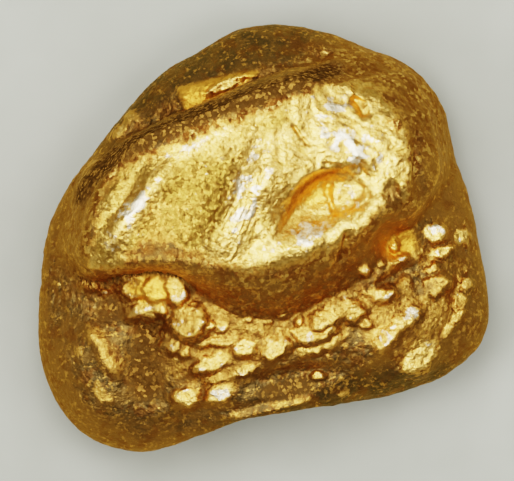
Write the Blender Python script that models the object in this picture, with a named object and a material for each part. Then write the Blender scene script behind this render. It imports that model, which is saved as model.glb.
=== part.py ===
"""A small water-worn gold nugget, 4.5 mm wide, lying on its worn underside.

A rounded pebble carries a raised, burnished slab that ends in a rounded front lip. Below the
lip lies a terrace of small flat-topped lumps, and a worn shelf runs behind the slab.
The plan of the nugget is the XY plane, +Z is up, and the origin is under the middle of its
box, on the surface that the nugget rests on. The tables are in millimetres.
"""

import math
from collections import namedtuple

import bmesh
import bpy
import numpy as np
from mathutils import Vector, noise

MM = 0.001

# --- Driving dimensions, mm ---
CROWN_HEIGHT = 2.14  # of the pebble's middle over the surface, without the slab
SLAB_HEIGHT = 2.84  # of the slab's middle over the surface
SLAB_DOME = 0.085  # how fast the slab's top falls away from its middle, 1 / mm
RIM_HEIGHT = 1.00  # where the pebble is widest
FRONT_ARCH = 0.50  # how far the widest line rises over the hollow in the front side
REST_CUT = 0.16  # how much of the round underside is worn flat
TOP_SHARE = 0.62  # share of the ball's arc from pole to pole that becomes the top side
SHOULDER = 2.6  # how square the shoulder of the top is: 2 is an ellipse
BELLY = 2.6  # the same for the underside
RIM_TILT = 0.12  # how much lower the widest line is at the right than in the middle
FRONT_TURN = -86.0  # direction of the hollow in the front side, degrees
FRONT_SPREAD = 0.86  # cosine of the angle from that direction at which the arch starts
LEAN_BACK = 0.06  # how fast the top rises toward the back
LEAN_SIDES = 0.05  # how fast it falls toward both sides
DOME_Y = 0.4  # where the slab's dome has its middle

BALL_SUBDIVISIONS = 7
WALL_FACING = 0.75  # the top is a wall where its normal rises less than this
WALL_PASSES = 4
WALL_EASE = 0.5  # how far each pass moves a vertex toward its neighbours' middle
TRIANGLES = 9400  # that the finished solid keeps
FLAT_SLACK = 0.003  # what lies this little over the cut is put on it
SHORT_EDGE = 0.002  # edges shorter than this are taken out along the cut

# How much the surface has to face upward for each kind of form, as the rise of its normal:
# none of the form up to the first value, all of it from the second.
TOP_FACING = (-0.10, 0.35)
LUMP_FACING = (0.15, 0.55)
UNDER_FACING = (0.00, -0.50)
SIDE_FACING = (0.55, 0.10)
RIM_BAND = (0.88, 1.00)  # the outermost part of the plan, where the worn unevenness fades
SLAB_CLEAR = 0.3  # share of the slab's height from which no lump stands

# The widest outline seen from above, anticlockwise from the right.
OUTLINE = (
    (2.14, 0.00),
    (2.05, 0.43),
    (1.91, 0.84),
    (1.78, 1.31),
    (1.50, 1.68),
    (1.08, 1.88),
    (0.66, 2.05),
    (0.22, 2.14),
    (-0.22, 2.10),
    (-0.62, 1.90),
    (-0.97, 1.68),
    (-1.26, 1.40),
    (-1.52, 1.11),
    (-1.76, 0.78),
    (-2.00, 0.43),
    (-2.18, 0.00),
    (-2.26, -0.48),
    (-2.26, -1.00),
    (-2.12, -1.54),
    (-1.77, -1.97),
    (-1.23, -2.14),
    (-0.64, -1.98),
    (-0.19, -1.80),
    (0.18, -1.74),
    (0.54, -1.68),
    (0.94, -1.64),
    (1.38, -1.54),
    (1.86, -1.36),
    (2.22, -0.98),
    (2.24, -0.47),
)

# The foot of the raised slab, anticlockwise from its left end: x, y and the width of the
# rounded edge there.
SLAB_FOOT = (
    (-2.06, 0.02, 0.44),
    (-2.04, -0.26, 0.42),
    (-1.74, -0.48, 0.30),
    (-1.30, -0.37, 0.16),
    (-0.90, -0.39, 0.20),
    (-0.59, -0.58, 0.40),
    (-0.24, -0.74, 0.54),
    (0.11, -0.80, 0.62),
    (0.48, -0.74, 0.66),
    (0.81, -0.58, 0.60),
    (1.10, -0.28, 0.46),
    (1.36, 0.04, 0.32),
    (1.64, 0.26, 0.40),
    (1.86, 0.62, 0.50),
    (1.83, 1.04, 0.50),
    (1.67, 1.44, 0.54),
    (1.30, 1.80, 0.54),
    (0.86, 1.90, 0.50),
    (0.40, 1.72, 0.22),
    (-0.06, 1.56, 0.13),
    (-0.52, 1.37, 0.11),
    (-0.99, 1.20, 0.11),
    (-1.40, 1.00, 0.16),
    (-1.78, 0.64, 0.26),
)

# A rounded rise (or, with a height below 0, a hollow) on an ellipse: x, y, length, width,
# turn in degrees, height, and flat, the share of the ellipse that it lifts evenly.
Swell = namedtuple("Swell", "x y length width turn height flat")
SWELL_END = 1.25  # how far out a swell ends, where its ellipse is 1
# A rounded ridge (or groove) along a line of points.
Ridge = namedtuple("Ridge", "points width height")
# A ledge along a line of points: the ground on its right falls by drop over the width of the
# edge, and comes back over run.
Ledge = namedtuple("Ledge", "points drop edge run")
# A thin flake, as wide as given where it starts and pointed where it ends.
Leaf = namedtuple("Leaf", "start end width height")

RIDGE_TAPER = 0.25  # share of its line over which a ridge dies away at either end
LEDGE_TAPER = 0.30  # the same for a ledge
LEAF_EDGE = 0.025  # half the width over which a leaf's edge rises
LEAF_POINT = 0.6  # how a leaf narrows to its end: 1 is straight, less is rounder

SLAB_SWELLS = (
    Swell(-0.66, 0.36, 1.50, 0.66, 54, -0.07, 0.10),  # the long valley left of the middle
    Swell(-0.14, 0.34, 1.30, 0.50, 56, 0.06, 0.10),  # the rise beside it
    Swell(0.90, 1.00, 1.00, 0.76, 10, 0.05, 0.10),  # the field at the back right
    Swell(0.62, 0.34, 1.16, 0.60, 32, -0.15, 0.30),  # the scoop
    Swell(0.53, 0.46, 0.46, 0.34, 20, -0.03, 0.50),
    Swell(0.81, 0.35, 0.30, 0.28, 0, -0.03, 0.30),
    Swell(0.57, 0.16, 0.26, 0.18, 60, -0.03, 0.10),
    Swell(1.28, 0.41, 0.22, 0.32, 20, -0.14, 0.20),  # the pit at the scoop's far end
    Swell(0.34, -0.02, 1.20, 0.36, 28, 0.07, 0.20),  # the swelling over the front lip
)
SLAB_RIDGES = (
    Ridge(((-1.66, -0.34), (-1.48, -0.02), (-1.26, 0.28), (-1.06, 0.54), (-0.84, 0.78)), 0.17, 0.08),
    Ridge(((-1.76, -0.26), (-1.68, 0.06), (-1.48, 0.38), (-1.32, 0.70)), 0.12, 0.04),
    Ridge(((-1.60, -0.12), (-1.43, 0.22), (-1.24, 0.56)), 0.08, -0.025),
    Ridge(((0.84, 0.10), (0.80, -0.12), (0.74, -0.34)), 0.06, -0.08),
    Ridge(((1.00, 0.12), (0.98, -0.06), (0.89, -0.22)), 0.06, -0.06),
    Ridge(((1.50, 0.30), (1.50, 0.70), (1.48, 1.10)), 0.07, -0.06),  # down the right flank
)
SLAB_LEDGES = (
    Ledge(
        (
            (-0.22, -0.18),
            (0.04, 0.00),
            (0.20, 0.23),
            (0.32, 0.48),
            (0.48, 0.63),
            (0.68, 0.68),
            (0.90, 0.56),
        ),
        0.085,
        0.10,
        0.45,
    ),
)

SHELF_SWELLS = (
    Swell(0.98, 1.72, 1.00, 0.24, -8, -0.05, 0.20),
)
SHELF_RIDGES = (
    Ridge(((-1.44, 0.98), (-1.00, 1.22), (-0.53, 1.38), (-0.07, 1.55), (0.30, 1.66)), 0.09, -0.06),
    Ridge(((-1.90, 0.42), (-1.75, 0.62), (-1.58, 0.82)), 0.08, 0.06),
    Ridge(((-1.54, 0.91), (-1.39, 1.11), (-1.22, 1.28)), 0.09, 0.06),
)
FLAKE = Leaf((-0.84, 1.41), (-0.06, 1.67), 0.20, 0.05)  # behind the slab

TERRACE_SWELLS = (
    Swell(-1.64, -1.30, 1.20, 0.80, 104, 0.10, 0.10),  # the smooth lobe at the front left
    Swell(-1.48, -0.68, 0.80, 0.54, 10, -0.06, 0.10),
    Swell(-1.13, -0.88, 0.32, 0.26, 0, -0.09, 0.10),  # the dark pit beside it
    Swell(1.30, -0.40, 0.60, 0.18, 30, -0.09, 0.20),
    Swell(1.29, -0.05, 0.40, 0.38, 0, -0.12, 0.50),  # the pit with a lump in its middle
    Swell(0.20, -1.40, 1.30, 0.26, 10, -0.07, 0.20),
    Swell(1.10, -1.32, 0.50, 0.30, 30, -0.05, 0.20),
)
TERRACE_RIDGES = (
    Ridge(((-1.10, -0.80), (-1.12, -1.05), (-1.20, -1.35), (-1.08, -1.80)), 0.30, -0.10),
    Ridge(((-1.80, -0.80), (-1.60, -1.03), (-1.52, -1.22), (-1.34, -1.42)), 0.10, 0.06),
    Ridge(((-0.49, -1.80), (-0.14, -1.71), (0.26, -1.62), (0.58, -1.54)), 0.06, 0.08),
    Ridge(((1.02, -1.16), (1.31, -0.87), (1.60, -0.68)), 0.11, 0.09),
)
# The flat-topped lumps of the terrace: x, y, length, width, turn in degrees. They stand up by
# LUMP_RISE of their width, and their tops are nearer to level than the ground.
LUMP_RISE = 0.30
LUMP_LEVEL = 0.60
LUMP_FLAT = 0.60  # share of its ellipse that a lump lifts evenly
LUMP_END = 1.32  # how far out a lump comes down to the ground, where its ellipse is 1
LUMPS = (
    (-1.26, -0.48, 0.32, 0.30, 0),
    (-1.07, -0.50, 0.26, 0.26, 0),
    (-0.90, -0.53, 0.24, 0.32, 0),
    (-1.18, -0.70, 0.46, 0.22, 5),
    (-0.76, -0.82, 0.42, 0.40, 0),
    (-0.53, -0.80, 0.13, 0.14, 0),
    (-0.42, -0.87, 0.14, 0.12, 0),
    (-0.46, -1.02, 0.38, 0.12, 8),
    (-0.93, -1.06, 0.22, 0.16, 0),
    (-0.78, -1.14, 0.12, 0.12, 0),
    (-0.50, -1.23, 0.46, 0.18, 24),
    (-0.20, -1.08, 0.26, 0.18, 5),
    (0.11, -1.08, 0.36, 0.26, 30),
    (-0.19, -1.31, 0.24, 0.12, 22),
    (-0.78, -1.58, 0.30, 0.24, 0),
    (-0.44, -1.55, 0.32, 0.17, 22),
    (-0.48, -1.39, 0.18, 0.09, 10),
    (-0.17, -0.79, 0.14, 0.10, 0),
    (0.03, -0.82, 0.12, 0.08, 0),
    (0.20, -0.76, 0.14, 0.09, 15),
    (0.66, -0.74, 0.56, 0.26, 38),
    (0.51, -0.92, 0.50, 0.28, 20),
    (0.35, -0.82, 0.10, 0.18, 0),
    (0.61, -0.89, 0.17, 0.14, 0),
    (0.54, -1.07, 0.50, 0.14, 22),
    (0.89, -0.73, 0.26, 0.22, 0),
    (1.19, -0.55, 0.28, 0.16, 8),
    (1.00, -0.85, 0.14, 0.12, 0),
    (1.19, -0.97, 0.36, 0.24, 35),
    (1.41, -0.78, 0.40, 0.16, 33),
    (1.56, -1.19, 0.44, 0.28, 50),
    (1.83, -0.92, 0.20, 0.10, 45),
    (1.92, -0.78, 0.22, 0.12, 45),
    (1.71, -0.47, 0.34, 0.26, 30),
    (2.02, -0.45, 0.18, 0.18, 0),
    (1.66, -0.30, 0.20, 0.09, 20),
    (0.99, -0.30, 0.15, 0.16, 0),
    (1.16, -0.24, 0.12, 0.09, 0),
    (1.34, -0.20, 0.20, 0.09, 10),
    (1.29, -0.06, 0.12, 0.14, 0),
    (1.72, 0.05, 0.20, 0.20, 0),
    (1.76, -0.14, 0.36, 0.13, 28),
    (2.00, 0.02, 0.16, 0.18, 0),
    (0.54, -1.36, 0.17, 0.11, 5),
    (0.78, -1.53, 0.15, 0.08, 10),
    (-1.62, -1.53, 0.26, 0.12, -45),
    (-1.97, -1.35, 0.10, 0.09, 0),
    (-1.84, -1.12, 0.10, 0.09, 0),
)
UNDERSIDE_SWELLS = (
    Swell(-1.10, 0.70, 1.30, 0.80, 40, -0.10, 0.10),
    Swell(1.30, 0.20, 1.10, 0.80, -50, -0.08, 0.10),
    Swell(-1.30, -1.10, 0.90, 0.70, 10, 0.08, 0.10),
    Swell(0.50, 1.45, 1.10, 0.50, 10, 0.06, 0.10),
    Swell(1.50, -1.00, 0.70, 0.60, 30, -0.07, 0.20),
)

# Worn unevenness all over: size of the hollows and their depth, and how much less of it there
# is at the widest outline.
UNEVEN = ((1.10, 0.110), (0.50, 0.045), (0.22, 0.014))
OUTLINE_HOLD = 0.75
# Dents in the sides and the underside: their size, their depth, and how high the hills of the
# noise have to be for a dent's full depth.
DENT_SIZE = 0.34
DENT_DEPTH = 0.035
DENT_FULL = 0.45


def smooth_step(low, high, value):
    """0 below low, 1 above high and an S-curve between, for an array."""
    share = np.clip((value - low) / (high - low), 0.0, 1.0)
    return share * share * (3.0 - 2.0 * share)


def closed_curve(points, steps=12):
    """A smooth closed Catmull-Rom curve through the points, as an array of rows."""
    knots = np.array(points, float)
    share = (np.arange(steps) / steps)[:, None]
    spans = []
    for n in range(len(knots)):
        a, b, c, d = (knots[(n + k - 1) % len(knots)] for k in range(4))
        spans.append(
            0.5
            * (
                2 * b
                + (c - a) * share
                + (2 * a - 5 * b + 4 * c - d) * share**2
                + (3 * b - a - 3 * c + d) * share**3
            )
        )
    return np.concatenate(spans)


def outline_reach(azimuth):
    """How far the outline is from the middle in each direction of the plan."""
    curve = closed_curve(OUTLINE)
    around = np.arctan2(curve[:, 1], curve[:, 0])
    order = np.argsort(around)
    return np.interp(azimuth, around[order], np.hypot(*curve[order].T), period=2 * math.pi)


def near_line(plan, points):
    """Each plan point's distance to a line of points, its side (left of the line is positive),
    and how far along the line its foot lies, as a share."""
    line = np.array(points, float)[:, :2]
    best = np.full(len(plan), np.inf)
    side = np.zeros(len(plan))
    along = np.zeros(len(plan))
    for n, (start, end) in enumerate(zip(line[:-1], line[1:])):
        run = end - start
        share = np.clip((plan - start) @ run / (run @ run), 0.0, 1.0)
        off = plan - start - share[:, None] * run
        distance = np.hypot(*off.T)
        closer = distance < best
        best[closer] = distance[closer]
        side[closer] = np.sign(run[0] * off[closer, 1] - run[1] * off[closer, 0])
        along[closer] = (n + share[closer]) / (len(line) - 1)
    return best, side, along


def slab_share(plan):
    """How much of the slab's height each plan point has: 1 inside, 0 from the foot outward,
    and a round edge between."""
    foot = closed_curve(SLAB_FOOT, steps=6)
    foot = np.vstack([foot, foot[:1]])
    distance, side, along = near_line(plan, foot)
    width = np.interp(along * (len(foot) - 1), np.arange(len(foot)), foot[:, 2])
    inward = np.clip(distance * side / width, 0.0, 1.0)
    return np.sin(math.pi / 2 * inward)


def rim_height(azimuth):
    """Height of the widest line: it arches up over the hollow in the front side."""
    front = np.cos(azimuth - math.radians(FRONT_TURN))
    arch = FRONT_ARCH * smooth_step(FRONT_SPREAD, 1.0, front)
    return RIM_HEIGHT + arch - RIM_TILT * np.cos(azimuth)


def top_height(plan):
    """Height of the pebble's top, and the share of it that is the slab, at each plan point."""
    azimuth = np.arctan2(plan[:, 1], plan[:, 0])
    out = np.clip(np.hypot(*plan.T) / outline_reach(azimuth), 0.0, 1.0)
    lean = LEAN_BACK * plan[:, 1] - LEAN_SIDES * np.abs(plan[:, 0])
    rim = rim_height(azimuth)
    ground = rim + (CROWN_HEIGHT + lean - rim) * np.sqrt(1.0 - out**SHOULDER)
    slab = slab_share(plan)
    dome = SLAB_DOME * (plan[:, 0] ** 2 + (plan[:, 1] - DOME_Y) ** 2)
    return ground + (SLAB_HEIGHT + lean - dome - ground) * slab, slab


def pebble_points(directions):
    """The plain pebble with its slab: each direction of a round ball put on its place, how far
    out that is as a share of the outline's reach, and the share of the slab there."""
    azimuth = np.arctan2(directions[:, 1], directions[:, 0])
    down = np.arccos(np.clip(directions[:, 2], -1.0, 1.0)) / math.pi
    on_top = down < TOP_SHARE
    out = np.sin(math.pi / 2 * np.where(on_top, down / TOP_SHARE, (1 - down) / (1 - TOP_SHARE)))
    reach = outline_reach(azimuth)
    plan = (out * reach)[:, None] * np.column_stack([np.cos(azimuth), np.sin(azimuth)])
    top, slab = top_height(plan)
    under = np.sqrt(np.clip(1.0 - out**BELLY, 0.0, 1.0))
    belly = rim_height(azimuth) * (1.0 - under) - REST_CUT * under
    places = np.column_stack([plan, np.where(on_top, top, belly)])
    return places, out, np.where(on_top, slab, 0.0)


def inside(plan, x, y, length, width, turn, flat, end=SWELL_END):
    """1 in the middle of an ellipse and 0 from its end outward, with an S-curve between."""
    turn = math.radians(turn)
    off = plan - (x, y)
    along = off @ (math.cos(turn), math.sin(turn)) / (length / 2)
    across = off @ (-math.sin(turn), math.cos(turn)) / (width / 2)
    return 1.0 - smooth_step(flat, end, np.hypot(along, across))


def swell(plan, form):
    """Height of one Swell at each plan point."""
    return form.height * inside(plan, form.x, form.y, form.length, form.width, form.turn, form.flat)


def ridge(plan, form):
    """Height of one Ridge at each plan point: it tapers to nothing at both ends."""
    distance, _, along = near_line(plan, form.points)
    taper = smooth_step(0.0, RIDGE_TAPER, along) * smooth_step(0.0, RIDGE_TAPER, 1.0 - along)
    return form.height * taper * np.exp(-((distance / form.width) ** 2) * 2.0)


def ledge(plan, form):
    """Height of one Ledge at each plan point: a sharp drop on its right that runs out."""
    distance, side, along = near_line(plan, form.points)
    taper = smooth_step(0.0, LEDGE_TAPER, along) * smooth_step(0.0, LEDGE_TAPER, 1.0 - along)
    fall = smooth_step(0.0, form.edge, distance) * (1.0 - smooth_step(form.edge, form.run, distance))
    return -form.drop * taper * np.where(side < 0, fall, 0.0)


def leaf(plan, form):
    """Height of one Leaf at each plan point: the same all over it but for its edge."""
    run = np.subtract(form.end, form.start)
    off = plan - form.start
    along = off @ run / (run @ run)
    across = np.abs(off @ (-run[1], run[0])) / np.hypot(*run)
    half = form.width / 2 * np.clip(1.0 - along, 0.0, 1.0) ** LEAF_POINT
    edge = smooth_step(-LEAF_EDGE, LEAF_EDGE, half - across)
    return form.height * edge * smooth_step(-LEAF_EDGE, LEAF_EDGE, along) * (along < 1.0)


def relief(plan):
    """Height of everything but the lumps that stands on or is sunk in the top."""
    height = np.zeros(len(plan))
    for form in (*SLAB_SWELLS, *SHELF_SWELLS, *TERRACE_SWELLS):
        height += swell(plan, form)
    for form in (*SLAB_RIDGES, *SHELF_RIDGES, *TERRACE_RIDGES):
        height += ridge(plan, form)
    for form in SLAB_LEDGES:
        height += ledge(plan, form)
    return height + leaf(plan, FLAKE)


def lump_lift(plan, ground):
    """How far the lumps lift each plan point of the ground given."""
    lift = np.zeros(len(plan))
    for x, y, length, width, turn in LUMPS:
        middle, _ = top_height(np.array([(x, y)]))
        share = inside(plan, x, y, length, width, turn, LUMP_FLAT, LUMP_END)
        own = share * (LUMP_RISE * width + LUMP_LEVEL * (middle[0] - ground))
        lift = np.where(share > 0, np.maximum(lift, own), lift)
    return lift


def hills(points, size):
    """Smooth noise in space, from about -1 to 1, whose hills are this far apart."""
    return np.array([noise.noise(Vector(point)) for point in points / size])


def unevenness(points, sideways):
    """The gentle bumps and hollows of a worn surface, with dents where it faces sideways or
    down."""
    height = sum(depth * hills(points, size) for size, depth in UNEVEN)
    dents = smooth_step(0.0, DENT_FULL, hills(points + DENT_SIZE, DENT_SIZE))
    return height - sideways * DENT_DEPTH * dents


def vertex_array(mesh, field):
    """The mesh's vertex places (co) or normals as rows."""
    rows = np.empty(len(mesh.vertices) * 3, np.float32)
    mesh.vertices.foreach_get(field, rows)
    return rows.reshape(-1, 3).astype(float)


def write_places(mesh, places):
    """Puts the mesh's vertices on the rows given."""
    mesh.vertices.foreach_set("co", places.astype(np.float32).ravel())
    mesh.update()


def sculpt(mesh):
    """Turns a round ball's mesh into the nugget, in millimetres."""
    directions = vertex_array(mesh, "co")
    directions /= np.linalg.norm(directions, axis=1)[:, None]
    places, out, slab = pebble_points(directions)
    write_places(mesh, places)
    normals = vertex_array(mesh, "normal")
    plan = places[:, :2]
    worn = 1.0 - OUTLINE_HOLD * smooth_step(*RIM_BAND, out)
    sideways = smooth_step(*SIDE_FACING, normals[:, 2])
    under = sum(swell(plan, form) for form in UNDERSIDE_SWELLS)
    rise = worn * unevenness(places, sideways)
    rise += smooth_step(*TOP_FACING, normals[:, 2]) * relief(plan)
    rise += smooth_step(*UNDER_FACING, normals[:, 2]) * under
    places += rise[:, None] * normals
    lift = lump_lift(plan, places[:, 2]) * (1.0 - smooth_step(0.0, SLAB_CLEAR, slab))
    places[:, 2] += lift * smooth_step(*LUMP_FACING, normals[:, 2])
    write_places(mesh, places)


def ease_walls(mesh):
    """Evens out the mesh where the top is steep, so that its walls are smooth."""
    shape = bmesh.new()
    shape.from_mesh(mesh)
    for _ in range(WALL_PASSES):
        shape.normal_update()
        steep = [v for v in shape.verts if v.co.z > RIM_HEIGHT and v.normal.z < WALL_FACING]
        bmesh.ops.smooth_vert(
            shape,
            verts=steep,
            factor=WALL_EASE,
            use_axis_x=True,
            use_axis_y=True,
            use_axis_z=True,
        )
    shape.to_mesh(mesh)
    shape.free()


def thin_out(nugget, triangles):
    """Leaves about so many triangles, most of them where the surface is uneven."""
    decimate = nugget.modifiers.new("thin_out", "DECIMATE")
    decimate.ratio = triangles / len(nugget.data.polygons)
    decimate.use_collapse_triangulate = True
    bpy.context.view_layer.objects.active = nugget
    nugget.select_set(True)
    bpy.ops.object.modifier_apply(modifier=decimate.name)


def wear_flat(mesh):
    """Cuts the underside off level at height 0 and closes the cut with one flat face."""
    shape = bmesh.new()
    shape.from_mesh(mesh)
    cut = bmesh.ops.bisect_plane(
        shape,
        geom=shape.verts[:] + shape.edges[:] + shape.faces[:],
        plane_co=(0.0, 0.0, 0.0),
        plane_no=(0.0, 0.0, -1.0),
        clear_outer=True,
    )
    edges = [part for part in cut["geom_cut"] if isinstance(part, bmesh.types.BMEdge)]
    bmesh.ops.contextual_create(shape, geom=edges)
    bmesh.ops.dissolve_degenerate(shape, dist=SHORT_EDGE, edges=shape.edges[:])
    for vert in shape.verts:
        if vert.co.z < FLAT_SLACK:
            vert.co.z = 0.0
    bmesh.ops.triangulate(shape, faces=shape.faces[:])
    bmesh.ops.recalc_face_normals(shape, faces=shape.faces[:])
    shape.to_mesh(mesh)
    shape.free()


def centre_and_scale(mesh):
    """Puts the middle of the plan at the origin and turns millimetres into metres."""
    places = vertex_array(mesh, "co")
    middle = (places.min(axis=0) + places.max(axis=0)) / 2
    middle[2] = 0.0
    write_places(mesh, (places - middle) * MM)


def gold_material():
    """Native gold with a soft, worn polish."""
    gold = bpy.data.materials.new("native_gold")
    gold.use_nodes = True
    surface = gold.node_tree.nodes["Principled BSDF"]
    surface.inputs["Base Color"].default_value = (0.83, 0.58, 0.20, 1.0)
    surface.inputs["Metallic"].default_value = 1.0
    surface.inputs["Roughness"].default_value = 0.34
    return gold


def build_nugget():
    """The whole nugget, one solid piece of metal."""
    bpy.ops.mesh.primitive_ico_sphere_add(subdivisions=BALL_SUBDIVISIONS, radius=1.0)
    nugget = bpy.context.object
    nugget.name = "nugget"
    sculpt(nugget.data)
    ease_walls(nugget.data)
    thin_out(nugget, TRIANGLES)
    wear_flat(nugget.data)
    centre_and_scale(nugget.data)
    nugget.data.materials.append(gold_material())
    nugget.data.shade_smooth()
    return nugget


def main():
    """Clears the scene and builds the nugget in its own collection."""
    for old in list(bpy.data.objects):
        bpy.data.objects.remove(old, do_unlink=True)
    nugget = build_nugget()
    collection = bpy.data.collections.new("gold_nugget")
    bpy.context.scene.collection.children.link(collection)
    for home in list(nugget.users_collection):
        home.objects.unlink(nugget)
    collection.objects.link(nugget)


if __name__ == "__main__":
    main()
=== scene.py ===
"""The looks of a small water-worn gold nugget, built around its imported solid.

The nugget is one piece of native gold. It is sculpted from a round ball: the ball becomes a
worn pebble with a raised, burnished slab, then each group of forms lifts or sinks its surface,
and the whole is worn flat below. All lengths in the classes are millimetres, in the plan of
the nugget seen from above, with +Y to the back. The mesh is turned into metres at the end.
"""

from __future__ import annotations

import logging
import math
from dataclasses import dataclass, field
from enum import Enum

import bpy
import numpy as np
import numpy.typing as npt
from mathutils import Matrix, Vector, noise


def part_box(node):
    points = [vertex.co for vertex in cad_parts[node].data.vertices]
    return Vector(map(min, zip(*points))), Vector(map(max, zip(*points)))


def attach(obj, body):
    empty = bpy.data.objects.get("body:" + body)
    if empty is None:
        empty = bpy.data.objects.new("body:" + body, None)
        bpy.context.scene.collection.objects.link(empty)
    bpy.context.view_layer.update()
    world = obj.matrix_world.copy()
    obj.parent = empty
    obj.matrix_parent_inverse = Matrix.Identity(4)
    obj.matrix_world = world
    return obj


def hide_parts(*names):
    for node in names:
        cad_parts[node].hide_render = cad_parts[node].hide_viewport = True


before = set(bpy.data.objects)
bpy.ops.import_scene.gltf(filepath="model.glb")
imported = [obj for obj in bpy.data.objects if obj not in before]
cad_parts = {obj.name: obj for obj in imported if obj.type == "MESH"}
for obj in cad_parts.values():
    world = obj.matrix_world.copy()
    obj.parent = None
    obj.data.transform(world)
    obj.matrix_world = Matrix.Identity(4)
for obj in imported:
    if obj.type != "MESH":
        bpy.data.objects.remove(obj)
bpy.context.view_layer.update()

log = logging.getLogger("nugget")

Array = npt.NDArray[np.float64]
Plan = tuple[float, float]
Pair = tuple[float, float]

MM = 0.001
NODE = "nugget"
BODY = "root"


# --- Measures in the plan ---


def smooth_step(low: float, high: float, value: Array) -> Array:
    """Eases from 0 to 1 between two values.

    Args:
        low: Where the result leaves 0.
        high: Where it reaches 1.
        value: The values to ease.

    Returns:
        One share for each value.
    """
    share = np.clip((value - low) / (high - low), 0.0, 1.0)
    return share * share * (3.0 - 2.0 * share)


def turned(plan: Array, degrees: float) -> tuple[Array, Array]:
    """Gives how far each plan point lies along a direction, and how far to the left of it."""
    turn = math.radians(degrees)
    return plan @ (math.cos(turn), math.sin(turn)), plan @ (-math.sin(turn), math.cos(turn))


def tapered(along: Array, taper: float) -> Array:
    """Gives 1 in the middle of a line's length and eases to 0 over a share at both ends."""
    return smooth_step(0.0, taper, along) * smooth_step(0.0, taper, 1.0 - along)


def most(*values: Array) -> Array:
    """Gives the largest of several values at each place."""
    return np.maximum.reduce(values)


def closed_curve(points: tuple[tuple[float, ...], ...], steps: int) -> Array:
    """Draws a smooth closed curve through points.

    Args:
        points: The points in order; columns after x and y are carried along.
        steps: How many rows each span gets.

    Returns:
        The curve's rows, without a repeat of the first.
    """
    knots = np.array(points, float)
    share = (np.arange(steps) / steps)[:, None]
    spans = []
    for n in range(len(knots)):
        a, b, c, d = (knots[(n + k - 1) % len(knots)] for k in range(4))
        bend = (2 * a - 5 * b + 4 * c - d) * share**2 + (3 * b - a - 3 * c + d) * share**3
        spans.append(0.5 * (2 * b + (c - a) * share + bend))
    return np.concatenate(spans)


def near_line(plan: Array, points: Array) -> tuple[Array, Array, Array]:
    """Measures plan points against a line of points.

    Args:
        plan: The places to measure.
        points: The line's points, of which x and y are used.

    Returns:
        The distance to the line, the side (left of the line is positive), and how far along
        the line the nearest place is, from 0 to 1.
    """
    line = points[:, :2]
    best = np.full(len(plan), np.inf)
    side = np.zeros(len(plan))
    along = np.zeros(len(plan))
    for n, (start, end) in enumerate(zip(line[:-1], line[1:])):
        run = end - start
        share = np.clip((plan - start) @ run / (run @ run), 0.0, 1.0)
        off = plan - start - share[:, None] * run
        distance = np.hypot(*off.T)
        closer = distance < best
        best[closer] = distance[closer]
        side[closer] = np.sign(run[0] * off[closer, 1] - run[1] * off[closer, 0])
        along[closer] = (n + share[closer]) / (len(line) - 1)
    return best, side, along


def worn_hills(points: Array, size: float) -> Array:
    """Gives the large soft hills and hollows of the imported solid, which the skin shares.

    Args:
        points: Places in space.
        size: The distance between one hill and the next.

    Returns:
        A height from about -1 to 1 for each place.
    """
    return np.array([noise.noise(Vector(point)) for point in points / size])


class Grain:
    """Seeded noise in space: the source of every natural unevenness."""

    CELLS: int = 256
    GAIN: float = 1.6
    FINER: float = 0.55
    CREASE: float = 0.55
    LAYER_SHIFT: float = 7.3

    def __init__(self, seed: int) -> None:
        """Shuffles the lattice of slopes for one seed.

        Args:
            seed: Any number; each gives its own noise.
        """
        rng = np.random.default_rng(seed)
        self.order = np.tile(rng.permutation(self.CELLS), 3)
        slopes = rng.normal(size=(self.CELLS, 3))
        self.slopes = slopes / np.linalg.norm(slopes, axis=1)[:, None]

    def _hash(self, cell: npt.NDArray[np.int64]) -> npt.NDArray[np.int64]:
        """Turns each lattice cell into the number of a slope."""
        x, y, z = (cell % self.CELLS).T
        return self.order[self.order[self.order[x] + y] + z]

    def smooth(self, points: Array, size: float) -> Array:
        """Gives soft hills and hollows.

        Args:
            points: Places in space.
            size: The distance between one hill and the next.

        Returns:
            A height from about -1 to 1 for each place.
        """
        spot = points / size
        cell = np.floor(spot).astype(np.int64)
        inner = spot - cell
        ease = inner**3 * (inner * (inner * 6 - 15) + 10)
        total = np.zeros(len(points))
        for corner in np.ndindex(2, 2, 2):
            step = np.array(corner)
            slope = self.slopes[self._hash(cell + step)]
            weight = np.prod(np.where(step == 1, ease, 1 - ease), axis=1)
            total += weight * np.einsum("ij,ij->i", slope, inner - step)
        return total * self.GAIN

    def folds(self, points: Array, size: float, layers: int) -> Array:
        """Gives sharp creases between soft pillows, as in crumpled foil.

        Args:
            points: Places in space.
            size: The width of the largest pillows.
            layers: How many times finer pillows are added.

        Returns:
            A height from about -1, in a crease, to 1, on a pillow.
        """
        total = np.zeros(len(points))
        weight = 1.0
        for layer in range(layers):
            fold = 2.0 * np.abs(self.smooth(points + self.LAYER_SHIFT * layer, size))
            total += weight * (fold - self.CREASE)
            size *= self.FINER
            weight *= self.FINER
        return total


# --- The kinds of form ---


@dataclass(frozen=True)
class Span:
    """A range of a value over which something eases from 0 to 1."""

    low: float
    high: float

    def of(self, value: Array) -> Array:
        """Gives the share of the range that each value has come."""
        return smooth_step(self.low, self.high, value)


@dataclass(frozen=True)
class Relief:
    """Fine relief in millimetres: soft hills or, when it has layers, sharp folds."""

    height: float
    size: float
    layers: int = 0

    def over(self, share: Array | float, grain: Grain, places: Array) -> Array:
        """Gives the relief's height.

        Args:
            share: How much of the relief there is at each place.
            grain: The noise that it is made of.
            places: The places, stretched where the relief has a grain.

        Returns:
            The height at each place.
        """
        if self.layers:
            return share * self.height * grain.folds(places, self.size, self.layers)
        return share * self.height * grain.smooth(places, self.size)


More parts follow.
